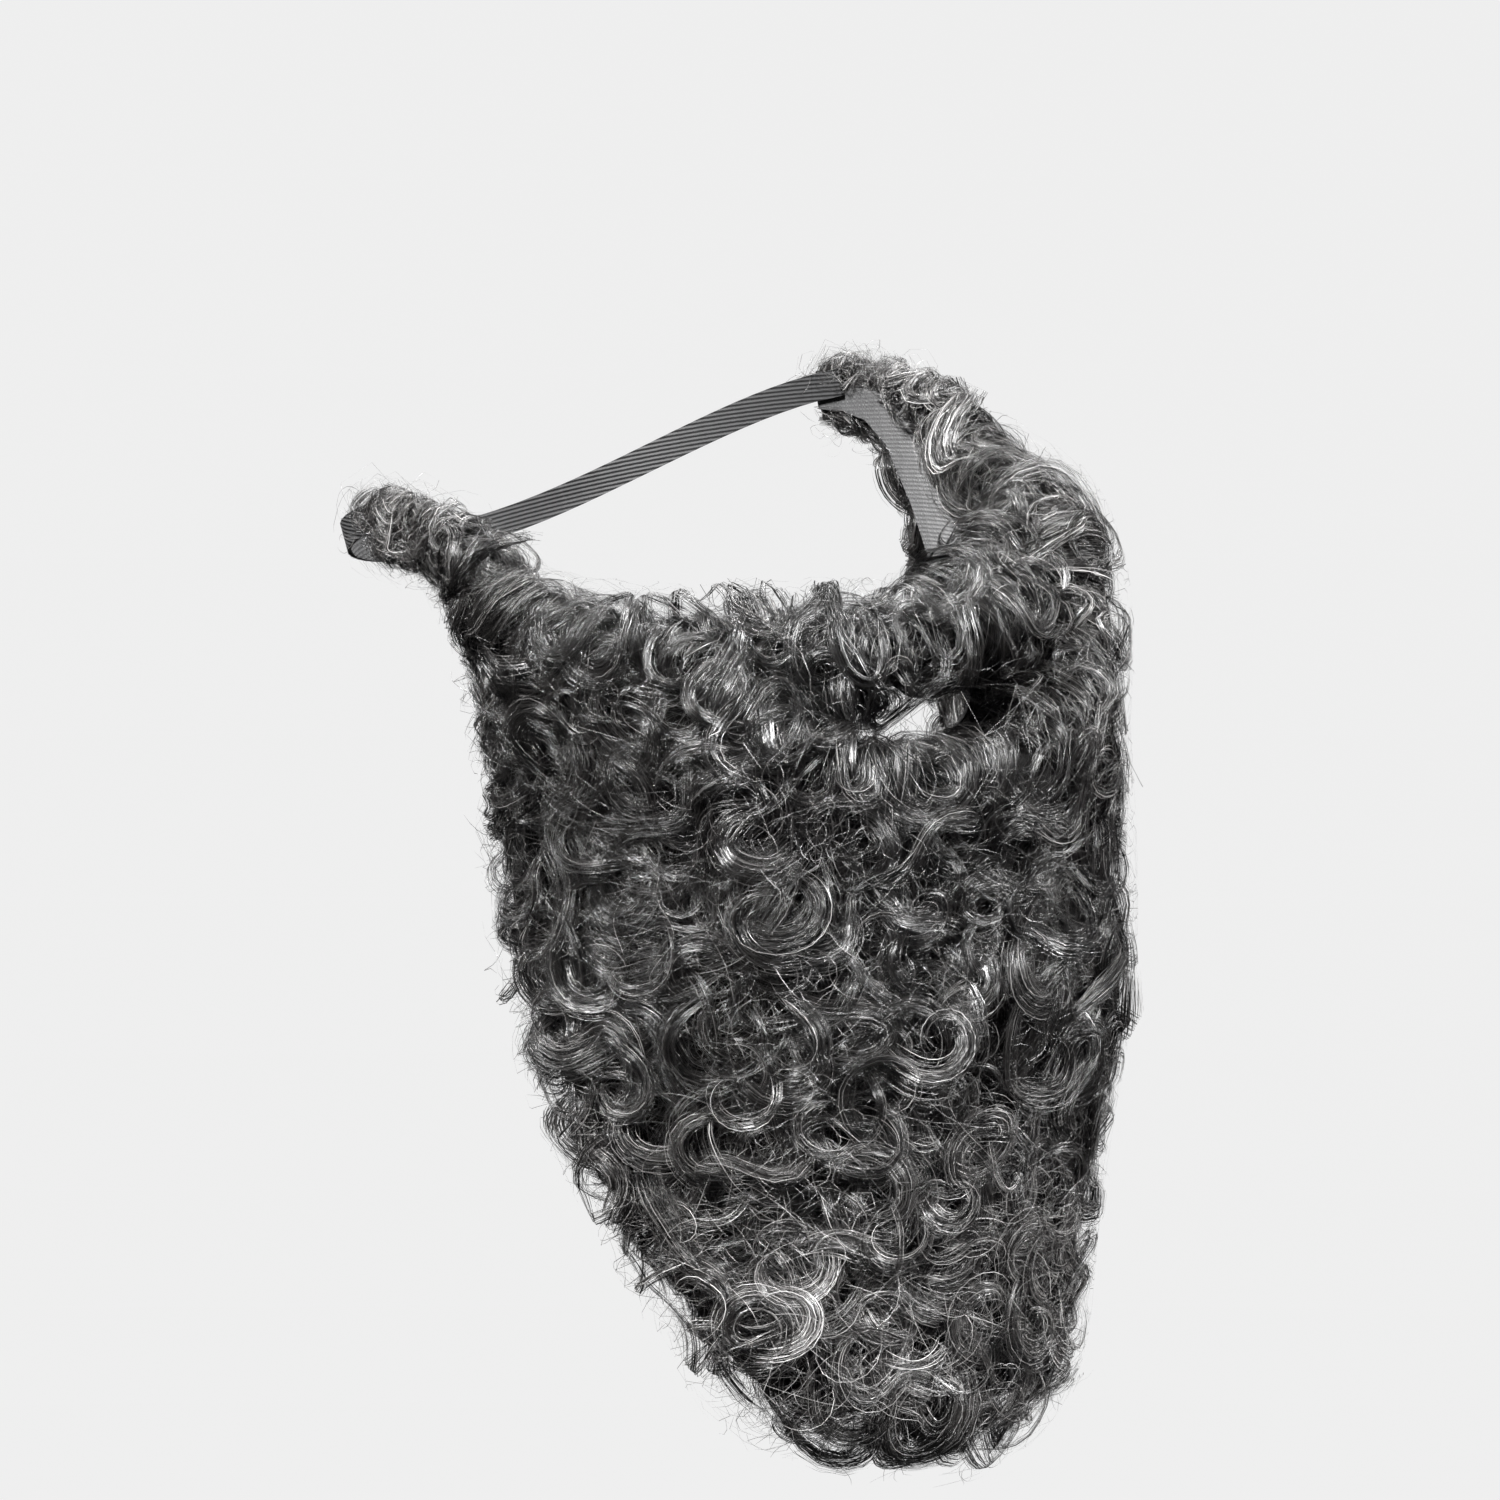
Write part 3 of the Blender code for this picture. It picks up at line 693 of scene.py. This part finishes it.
def strand_tones(locks, strands, chance):
    """Tone of each strand from 0, black, to 1, white: black, grey and white ones in each lock."""
    shape = (len(locks.line), strands)
    sort = chance.random(shape)
    # Lighter by place, partly lighter strands and partly painted backlight, plus each lock's chance
    # lightness
    light = place_tone_and_backlight(locks.line)[:, None] + 0.07 * locks.lightness[:, None]
    white = WHITE_SHARE + 0.9 * light
    black = BLACK_SHARE - light
    tone = np.where(sort < white, WHITE_TONE, np.where(sort > 1 - black, BLACK_TONE, GREY_TONE))
    return np.clip(tone + 0.6 * light + chance.normal(0, 0.09, shape), 0.02, 1)


def fill_mesh(name, points, faces, uv=None, tones=None, normals=None):
    """A mesh object from arrays: points in millimetres, quads, and the values of each point."""
    mesh = bpy.data.meshes.new(name)
    count = len(faces)
    mesh.vertices.add(len(points))
    mesh.vertices.foreach_set("co", (points * MM).astype(np.float32).ravel())
    mesh.loops.add(count * 4)
    mesh.loops.foreach_set("vertex_index", faces.astype(np.int32).ravel())
    mesh.polygons.add(count)
    mesh.polygons.foreach_set("loop_start", np.arange(0, count * 4, 4, dtype=np.int32))
    mesh.update(calc_edges=True)
    if uv is not None:
        layer = mesh.uv_layers.new(name="along")
        layer.data.foreach_set("uv", uv[faces.ravel()].astype(np.float32).ravel())
    if tones is not None:
        field = mesh.attributes.new("tone", "FLOAT", "POINT")
        field.data.foreach_set("value", tones.astype(np.float32))
    if normals is not None:
        mesh.normals_split_custom_set_from_vertices(normals.tolist())
    return placed(name, mesh)


def placed(name, data):
    """A new object in the scene that shows the data."""
    piece = bpy.data.objects.new(name, data)
    bpy.context.scene.collection.objects.link(piece)
    return piece


def strip_faces(count, length, width):
    """Quads of separate strips, each length points long and width points wide."""
    index = np.arange(count * length * width).reshape(count, length, width)
    return np.stack(
        [index[:, :-1, :-1], index[:, :-1, 1:], index[:, 1:, 1:], index[:, 1:, :-1]], -1
    ).reshape(-1, 4)


def ribbons(name, line, out, half, tone):
    """Strands as flat ribbons: each point of the line moved half the width to either side.

    The normals at the two edges lean away from each other, so that light runs over the flat
    ribbon as over a round fibre.
    """
    count, length = line.shape[:2]
    along = unit(np.gradient(line, axis=1))
    aside = unit(np.cross(along, out))
    out = unit(np.cross(aside, along))
    t = np.linspace(0, 1, length)
    taper = np.minimum(1, 0.3 + 0.7 * np.minimum(t / 0.08, (1 - t) / 0.18))
    half = half[:, None] * taper[None, :]
    points = np.stack([line - half[..., None] * aside, line + half[..., None] * aside], 2)
    lean, face = math.sin(ROUNDNESS), math.cos(ROUNDNESS)
    normals = np.stack([face * out - lean * aside, face * out + lean * aside], 2)
    return fill_mesh(
        name,
        points.reshape(-1, 3),
        strip_faces(count, length, 2),
        tones=np.repeat(tone.reshape(-1), 2),
        normals=normals.reshape(-1, 3),
    )


def bands_of(name, locks, bands, chance):
    """Bands of fine hairs along each lock: a low arch three points wide, carried along the line.

    The map has millimetres across and along the band, and cover says how closely hairs lie.
    """
    parts = [band_arrays(locks, band, chance) for band in bands]
    points, normals, uv, tones, cover = (np.concatenate(part) for part in zip(*parts))
    piece = fill_mesh(
        name,
        points.reshape(-1, 3),
        strip_faces(len(points), POINTS_IN_STRAND, 3),
        uv=uv.reshape(-1, 2),
        tones=tones.reshape(-1),
        normals=normals.reshape(-1, 3),
    )
    field = piece.data.attributes.new("cover", "FLOAT", "POINT")
    field.data.foreach_set("value", cover.astype(np.float32).ravel())
    return piece


def band_arrays(locks, band, chance):
    """Points, normals, map, tone and cover of one band for every lock."""
    count = len(locks.line)
    t = np.broadcast_to(crowded(POINTS_IN_STRAND) * band.reach, (count, POINTS_IN_STRAND))
    line, aside, out, lift = (field[:, :, None] for field in along_lock(locks, t))
    seat = np.array([-1.0, 0.0, 1.0])
    width = band.width * (locks.half_width * lock_width(t))[..., None]
    arch = band.arch * (1 - seat**2) * width + band.lift
    points = line + (seat * width)[..., None] * aside + arch[..., None] * out
    step = np.linalg.norm(np.diff(line[:, :, 0], axis=1), axis=2)
    run = np.concatenate([np.zeros((count, 1)), np.cumsum(step, axis=1)], 1)
    u = seat * width + chance.uniform(0, 400, (count, 1, 1))
    uv = np.stack([u, np.broadcast_to(run[:, :, None], u.shape)], -1)
    # The place's lighter tone is partly painted backlight
    tone = BLACK_TONE + 0.09 * locks.lightness + 0.9 * place_tone_and_backlight(locks.line)
    # Painted shade darkens the bands that lie deep in the hair
    tone = np.clip(tone, 0.01, 1)[:, None, None] * painted_depth_shade(lift[..., 0])
    tone = np.broadcast_to(tone, u.shape)
    normal = unit(out + 0.9 * seat[:, None] * aside)
    ends = 0.35 * smoothstep((t - 0.7) / 0.3) * band.reach
    cover = band.middle_cover + (band.edge_cover - band.middle_cover) * seat**2
    return points, normal, uv, tone, cover - ends[..., None]


def make_fine_hairs(name, side, count, kinds, points, chance, finishes):
    """Loose fine hairs over a side: short arcs of chance heading and bend that rise off it."""
    column = chance.uniform(0, side.columns - 1, count)
    level = chance.uniform(0, side.levels - 1, count)
    scale = side.at(side.size, column, level)[:, None]
    pick = chance.choice(len(kinds), count, p=[kind.share for kind in kinds])
    kind = FineKind(*np.array(kinds)[pick].T[..., None])
    t = np.linspace(0, 1, points)[None, :]
    step = kind.length * scale * chance.uniform(0.6, 1.4, (count, 1)) / (points - 1)
    bend = kind.bend * chance.normal(0, 1, (count, 1)) + 0.06 * chance.normal(0, 1, (count, 1)) * t
    heading = chance.uniform(0, 2 * math.pi, (count, 1)) + np.cumsum(bend * step, axis=1)
    c, v = side.walked(column, level, heading, step[:, 0])
    lift = kind.rise * scale * chance.uniform(0.2, 1.5, (count, 1))
    lift = lift + scale * chance.normal(0.8, 2.8, (count, 1)) * t
    lift = lift + chance.normal(0, 1.8, (count, 1)) * np.sin(math.pi * t)
    out = unit(side.at(side.out, c, v))
    lift = np.clip(lift, 0.3, side.highest + 1.5)
    line = side.at(side.points, c, v, free=True) + lift[..., None] * out
    past = side.overhang(column, level, c, v)
    kept = (np.abs(past[0]) < LEFT_OVER) & (np.abs(past[1]) < LEFT_OVER)
    line, out, lift = round_mouth(line[kept]), out[kept], lift[kept]
    half = 0.5 * chance.uniform(*FINE_WIDTHS, len(line))
    # Chance tone plus the place's lighter tone, which is partly painted backlight
    tone = np.clip(0.66 * chance.random(len(line)) ** 1.6 + place_tone_and_backlight(line), 0, 1)
    # Painted shade darkens the loose hairs that lie low
    tone = tone[:, None] * painted_depth_shade(lift)
    dress(ribbons(name, line, out, half, tone), finishes["strand"])


class Sock:
    """A node socket that adds Math nodes where it is used in a Python expression."""

    def __init__(self, nodes, socket):
        self.nodes = nodes
        self.socket = socket

    def __add__(self, other):
        return self.nodes.maths("ADD", self, other)

    def __sub__(self, other):
        return self.nodes.maths("SUBTRACT", self, other)

    def __mul__(self, other):
        return self.nodes.maths("MULTIPLY", self, other)


class Finish:
    """A material's nodes, made one by one with their settings and the values of their sockets."""

    def __init__(self, name):
        self.material = bpy.data.materials.new(name)
        self.material.use_nodes = True
        self.tree = self.material.node_tree
        self.shader = self.tree.nodes["Principled BSDF"]

    def node(self, kind, settings=None, output=0, **sockets):
        """Adds a node: its settings first, then its sockets by name or by number after an underscore."""
        made = self.tree.nodes.new(kind)
        for name, value in (settings or {}).items():
            if name == "stops":
                self.set_stops(made.color_ramp, value)
            else:
                setattr(made, name, value)
        for name, value in sockets.items():
            key = int(name[1:]) if name[0] == "_" else name.replace("_", " ")
            self.feed(made.inputs[key], value)
        return Sock(self, made.outputs[output])

    def set_stops(self, ramp, stops):
        while len(ramp.elements) < len(stops):
            ramp.elements.new(1)
        for element, (place, colour) in zip(ramp.elements, stops):
            element.position = place
            element.color = (*colour, 1)

    def feed(self, socket, value):
        if isinstance(value, Sock):
            self.tree.links.new(value.socket, socket)
        else:
            socket.default_value = value

    def maths(self, operation, first, second):
        return self.node("ShaderNodeMath", {"operation": operation}, _0=first, _1=second)

    def surface(self, **sockets):
        for name, value in sockets.items():
            self.feed(self.shader.inputs[name.replace("_", " ")], value)
        return self.material


HAIR_STOPS = (
    (0.0, (0.003, 0.0027, 0.0025)),
    (0.22, (0.008, 0.0074, 0.0070)),
    (0.45, (0.032, 0.0300, 0.0288)),
    (0.75, (0.17, 0.164, 0.160)),
    (1.0, (0.46, 0.452, 0.445)),
)


def strand_finish():
    """Glossy curled fibre whose colour runs from black to white with the strand's tone."""
    hair = Finish("curled_fibre")
    tone = hair.node("ShaderNodeAttribute", {"attribute_name": "tone"}, output="Fac")
    colour = hair.node("ShaderNodeValToRGB", {"stops": HAIR_STOPS}, Fac=tone)
    return hair.surface(Base_Color=colour, Roughness=0.32, Specular_IOR_Level=0.85)


def drawn_noise(hair, place, across, along, start):
    """Noise drawn out along the hairs: cells per millimetre across and along the band."""
    drawn = hair.node(
        "ShaderNodeVectorMath",
        {"operation": "MULTIPLY_ADD"},
        _0=place,
        _1=(across, along, 1),
        _2=(start, start, 0),
    )
    return hair.node(
        "ShaderNodeTexNoise",
        {"noise_dimensions": "2D"},
        Vector=drawn,
        Scale=1.0,
        Detail=3.0,
        Roughness=0.8,
    )


def band_finish():
    """Many fine fibres side by side: noise drawn out along the band parts and colours them."""
    hair = Finish("lock_of_fibre")
    tone = hair.node("ShaderNodeAttribute", {"attribute_name": "tone"}, output="Fac")
    cover = hair.node("ShaderNodeAttribute", {"attribute_name": "cover"}, output="Fac")
    place = hair.node("ShaderNodeUVMap", {"uv_map": "along"})
    fibres = drawn_noise(hair, place, 2.0, 0.030, 0)
    shades = drawn_noise(hair, place, 1.7, 0.020, 57)
    shade = tone + (shades - 0.5) * 3.0
    colour = hair.node("ShaderNodeValToRGB", {"stops": HAIR_STOPS}, Fac=shade)
    gap = (fibres - 0.5) * 2.2 + cover
    alpha = hair.node("ShaderNodeMath", {"operation": "MULTIPLY", "use_clamp": True}, _0=gap - 0.36, _1=8)
    bump = hair.node("ShaderNodeBump", Height=fibres + shades, Strength=1.0, Distance=0.0006)
    return hair.surface(
        Base_Color=colour, Roughness=0.29, Specular_IOR_Level=0.74, Alpha=alpha, Normal=bump
    )


def painted_shade_core_finish():
    """Deep inside of the hair in painted shade: wavy streaks of hair hanging down, darkened near black as
    if in shadow.
    """
    hair = Finish("painted_shade_inner_hair")
    place = hair.node("ShaderNodeTexCoord", output="Object")
    bent = hair.node("ShaderNodeTexNoise", Vector=place, Scale=70.0, Detail=2.0)
    shifted = hair.node("ShaderNodeVectorMath", {"operation": "ADD"}, _0=place, _1=bent)
    drawn = hair.node("ShaderNodeVectorMath", {"operation": "MULTIPLY"}, _0=shifted, _1=(1500, 1500, 110))
    streaks = hair.node("ShaderNodeTexNoise", Vector=drawn, Scale=1.0, Detail=3.0, Roughness=0.6)
    # Ramp held to its dark end: painted shade over the deep hair's streaks
    colour = hair.node("ShaderNodeValToRGB", {"stops": HAIR_STOPS}, Fac=streaks * 0.55 - 0.12)
    bump = hair.node("ShaderNodeBump", Height=streaks, Strength=0.8, Distance=0.0008)
    return hair.surface(Base_Color=colour, Roughness=0.6, Specular_IOR_Level=0.2, Normal=bump)


def woven_finish(name, rows, grain, stops, relief, **surface):
    """Cloth with rows that run level on the leaning head, and a finer grain over them."""
    cloth = Finish(name)
    place = cloth.node("ShaderNodeTexCoord", output="Object")
    turn = {"rotation_type": "Y_AXIS"}
    upright = cloth.node("ShaderNodeVectorRotate", turn, Vector=place, Angle=HEAD_LEAN)
    bands = {"wave_type": "BANDS", "bands_direction": "Z"}
    ribs = cloth.node("ShaderNodeTexWave", bands, Vector=upright, Scale=260.0, **rows)
    fuzz = cloth.node("ShaderNodeTexNoise", Vector=place, **grain)
    colour = cloth.node("ShaderNodeValToRGB", {"stops": stops}, Fac=ribs * 0.6 + fuzz * 0.4)
    bump = cloth.node("ShaderNodeBump", Height=ribs + fuzz * 0.5, **relief)
    return cloth.surface(Base_Color=colour, Normal=bump, **surface)


def knit_finish():
    """Charcoal knit: rows of small ribs with a fine fuzz."""
    return woven_finish(
        "charcoal_knit",
        rows={"Distortion": 2.0, "Detail": 2.0, "Detail_Scale": 3.0},
        grain={"Scale": 1400.0, "Detail": 3.0},
        stops=((0.0, (0.006, 0.006, 0.0065)), (1.0, (0.028, 0.027, 0.028))),
        relief={"Strength": 0.5, "Distance": 0.0006},
        Roughness=0.92,
        Sheen_Weight=0.3,
    )


def elastic_finish():
    """Woven elastic: fine cords along the band, crossed by the weft."""
    return woven_finish(
        "woven_elastic",
        rows={"Distortion": 0.4},
        grain={"Scale": 900.0, "Detail": 2.0},
        stops=((0.0, (0.010, 0.010, 0.0105)), (1.0, (0.038, 0.038, 0.039))),
        relief={"Strength": 0.6, "Distance": 0.0004},
        Roughness=0.7,
    )


def core(name, sections, angles, count, node, finish):
    """A closed body through the hair's sections, its two ends gathered to their middles."""
    rings = closed_rings(sections(angles)[0], count)
    hubs = rings.mean(axis=1)
    rings = hubs[:, None] + (rings - hubs[:, None]) * 0.96
    columns = len(rings)
    index = np.arange(columns * count).reshape(columns, count)
    beside = np.roll(index, -1, axis=1)
    walls = np.stack([index[:-1], beside[:-1], beside[1:], index[1:]], -1).reshape(-1, 4)
    mesh = bpy.data.meshes.new(name)
    ends = [
        [first, second, columns * count + end]
        for end, row in enumerate((0, -1))
        for first, second in zip(index[row], beside[row])
    ]
    points = np.concatenate([rings.reshape(-1, 3), hubs[[0, -1]]]) * MM
    mesh.from_pydata(points.tolist(), [], walls.tolist() + ends)
    mesh.update()
    body = placed(name, mesh)
    face_outwards(mesh)
    mesh.shade_smooth()
    dress(body, finish)
    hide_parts(node)
    return body


def face_outwards(mesh):
    """Turns all faces so that a closed mesh's normals point out of it."""
    form = bmesh.new()
    form.from_mesh(mesh)
    bmesh.ops.recalc_face_normals(form, faces=form.faces)
    form.to_mesh(mesh)
    form.free()


def dress(piece, finish):
    """Gives a piece its material and slot, and fixes it to the part's one body."""
    piece.data.materials.clear()
    piece.data.materials.append(finish)
    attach(piece, "root")


def make_locks(name, locks, strands, bands, chance, finishes):
    """Strands of some locks, and the bands of finer hairs that carry them."""
    fibres = ribbons("strands_" + name, *strands_of(locks, strands, chance))
    dress(fibres, finishes["strand"])
    carried = bands_of("locks_" + name, locks, bands, chance)
    dress(carried, finishes["band"])


def make_beard(chance, finishes):
    angles = np.linspace(-HAIR_END, HAIR_END, 97)
    core("beard_core", hair_sections, angles, 56, "beard_hair", finishes["core"])
    across = np.linspace(-HAIR_END + 1, HAIR_END - 1, 161)
    corners, outer = hair_sections(across)
    size = np.clip(read(HAIR, "thickness", np.abs(across)) / FULL_THICKNESS, 0.5, 1)
    outside = HairSide(even_grid(corners, 0.2, outer - 0.2, 80), size, True)
    locks = grow_locks(outside, scattered(outside, LOCK_SPACING, 1, 1.0, chance), BEARD_LOCKS, chance)
    wisps = grow_locks(outside, scattered(outside, WISP_SPACING, 0, 1.0, chance), BEARD_WISPS, chance)
    sets = (
        ("locks", locks, STRANDS_IN_LOCK, (UNDER_BAND, OVER_BAND)),
        ("wisps", wisps, STRANDS_IN_WISP, (WISP_BAND,)),
    )
    for name, group, strands, bands in sets:
        height = group.line[:, STEPS_IN_LOCK // 2, 2]
        tiers = {"upper": height > UPPER_TIER, "low": height < LOW_TIER}
        tiers["middle"] = ~(tiers["upper"] | tiers["low"])
        for tier, mask in tiers.items():
            make_locks(name + "_" + tier, chosen(group, mask), strands, bands, chance, finishes)
    inside = HairSide(even_grid(corners, outer - 0.3, outer + 4.0, 44), size, False, HIGHEST_INSIDE)
    inner = grow_locks(inside, scattered(inside, INNER_SPACING, 1, 0.92, chance), BEARD_LOCKS, chance)
    make_locks("inner", inner, STRANDS_INSIDE, (UNDER_BAND, WISP_BAND), chance, finishes)
    loose_hairs = (
        ("inner_fine_hairs", inside, INNER_FINE_HAIRS, FINE_HAIRS, POINTS_IN_FINE_HAIR),
        ("fine_hairs", outside, BEARD_FINE_HAIRS, FINE_HAIRS, POINTS_IN_FINE_HAIR),
        ("frizz", outside, BEARD_FRIZZ, FRIZZ, POINTS_IN_FRIZZ),
    )
    for name, side, count, kinds, points in loose_hairs:
        make_fine_hairs(name, side, count, kinds, points, chance, finishes)


def make_mouth_corners(chance, finishes):
    """Wisps that stand up from the beard beside the mouth, into the gap under the moustache's ends."""
    for corner in MOUTH_CORNERS:
        across = np.linspace(corner.first, corner.last, 30)
        corners, _ = hair_sections(across)
        size = np.full(len(across), CORNER_SIZE)
        side = HairSide(even_grid(corners, 0.4, 2.6, 16), size, True, over_top=CORNER_OVER_TOP)
        wisps = grow_locks(side, scattered(side, CORNER_SPACING, 0, 0.9, chance), MOUSTACHE_LOCKS, chance)
        bands = (UNDER_BAND, WISP_BAND)
        make_locks("mouth_corner_" + corner.side, wisps, STRANDS_IN_WISP, bands, chance, finishes)


def make_moustache(chance, finishes):
    angles = np.linspace(-MOUSTACHE_HALF_ANGLE, MOUSTACHE_HALF_ANGLE, 41)
    core("moustache_core", moustache_sections, angles, 32, "moustache_hair", finishes["core"])
    across = np.linspace(-MOUSTACHE_HALF_ANGLE - 4, MOUSTACHE_HALF_ANGLE + 4, 67)
    corners, outer = moustache_sections(across)
    side = HairSide(even_grid(corners, 0.2, outer + 0.4, 20), np.ones(len(across)), True)
    seats = scattered(side, MOUSTACHE_LOCK_SPACING, 0, 0.95, chance)
    locks = grow_locks(side, seats, MOUSTACHE_LOCKS, chance)
    seats = scattered(side, MOUSTACHE_WISP_SPACING, 0, 1.0, chance)
    wisps = grow_locks(side, seats, MOUSTACHE_WISPS, chance)
    bands = (UNDER_BAND, OVER_BAND)
    make_locks("moustache_locks", locks, STRANDS_IN_LOCK, bands, chance, finishes)
    make_locks("moustache_wisps", wisps, STRANDS_IN_WISP, (WISP_BAND,), chance, finishes)
    name, count = "moustache_fine_hairs", MOUSTACHE_FINE_HAIRS
    make_fine_hairs(name, side, count, FINE_HAIRS, POINTS_IN_FINE_HAIR, chance, finishes)


def cyclorama():
    """A pale floor that turns up into a round wall: a profile carried once round the plumb line.

    The profile is a flat radius, a quarter circle and a short wall. A fan closes it in the middle.
    """
    floor, reach, turn, wall = -620, 3200, 1400, 2600
    bend = np.radians(np.linspace(0, 90, 13))
    radius = np.concatenate([[400], reach + turn * np.sin(bend), [reach + turn]])
    height = np.concatenate([[floor], floor + turn * (1 - np.cos(bend)), [floor + turn + wall]])
    segments = 72
    angle = np.linspace(0, 2 * math.pi, segments, endpoint=False)
    points = np.stack(
        [
            radius[None] * np.cos(angle)[:, None],
            radius[None] * np.sin(angle)[:, None],
            np.broadcast_to(height[None], (segments, len(height))),
        ],
        -1,
    )
    index = np.arange(points.shape[0] * points.shape[1]).reshape(points.shape[:2])
    beside = np.roll(index, -1, axis=0)
    walls = np.stack([beside[:, :-1], beside[:, 1:], index[:, 1:], index[:, :-1]], -1).reshape(-1, 4)
    hub = np.full(len(index), points.shape[0] * points.shape[1])
    fan = np.stack([index[:, 0], beside[:, 0], hub], -1)
    mesh = bpy.data.meshes.new("pale_floor")
    middle = [[0, 0, floor]]
    places = np.concatenate([points.reshape(-1, 3), middle]) * MM
    mesh.from_pydata(places.tolist(), [], walls.tolist() + fan.tolist())
    mesh.update()
    piece = placed("pale_floor", mesh)
    pale = Finish("pale_paper").surface(
        Base_Color=(0.03, 0.03, 0.03, 1),
        Roughness=0.9,
        Emission_Color=(1, 1, 1, 1),
        Emission_Strength=0.84,
    )
    piece.data.materials.append(pale)
    piece.visible_diffuse = False
    piece.visible_glossy = False


def direction(azimuth, elevation):
    """Unit direction towards a place seen from the part, at the azimuth and elevation in degrees."""
    a, e = math.radians(azimuth), math.radians(elevation)
    return np.array([math.sin(a) * math.cos(e), -math.cos(a) * math.cos(e), math.sin(e)])


def aim(piece, place, target):
    """Puts an object at a place in millimetres, its -Z towards the target."""
    piece.location = Vector(place * MM)
    piece.rotation_euler = Vector((target - place) * MM).to_track_quat("-Z", "Y").to_euler()


def soft_lamp(lamp):
    data = bpy.data.lights.new(lamp.name, "AREA")
    data.shape = "DISK"
    data.size = lamp.size * MM
    data.energy = lamp.power
    disk = placed(lamp.name, data)
    centre = np.array(LIT_POINT)
    aim(disk, centre + lamp.distance * direction(lamp.azimuth, lamp.elevation), centre)


def make_studio():
    cyclorama()
    for lamp in LAMPS:
        soft_lamp(lamp)
    world = bpy.data.worlds.new("studio")
    world.use_nodes = True
    air = world.node_tree.nodes["Background"]
    air.inputs["Color"].default_value = (1, 1, 1, 1)
    air.inputs["Strength"].default_value = AIR_LIGHT
    bpy.context.scene.world = world
    bpy.context.scene.view_settings.view_transform = "Standard"
    towards = direction(CAMERA_AZIMUTH, 0)
    right = np.array([math.cos(math.radians(CAMERA_AZIMUTH)), math.sin(math.radians(CAMERA_AZIMUTH)), 0])
    target = AIM_RIGHT * right + np.array([0, 0, AIM_UP])
    data = bpy.data.cameras.new("camera")
    data.lens = CAMERA_LENS
    data.sensor_width = 36
    data.clip_start = 0.05
    data.clip_end = 50
    camera = placed("camera", data)
    aim(camera, target + CAMERA_DISTANCE * towards, target)
    bpy.context.scene.camera = camera


def main():
    finishes = {"strand": strand_finish(), "band": band_finish(), "core": painted_shade_core_finish()}
    make_beard(np.random.default_rng(5), finishes)
    make_moustache(np.random.default_rng(6), finishes)
    make_mouth_corners(np.random.default_rng(7), finishes)
    for node, finish in (("backing", knit_finish()), ("elastic_band", elastic_finish())):
        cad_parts[node].data.materials.clear()
        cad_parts[node].data.materials.append(finish)
    make_studio()


main()
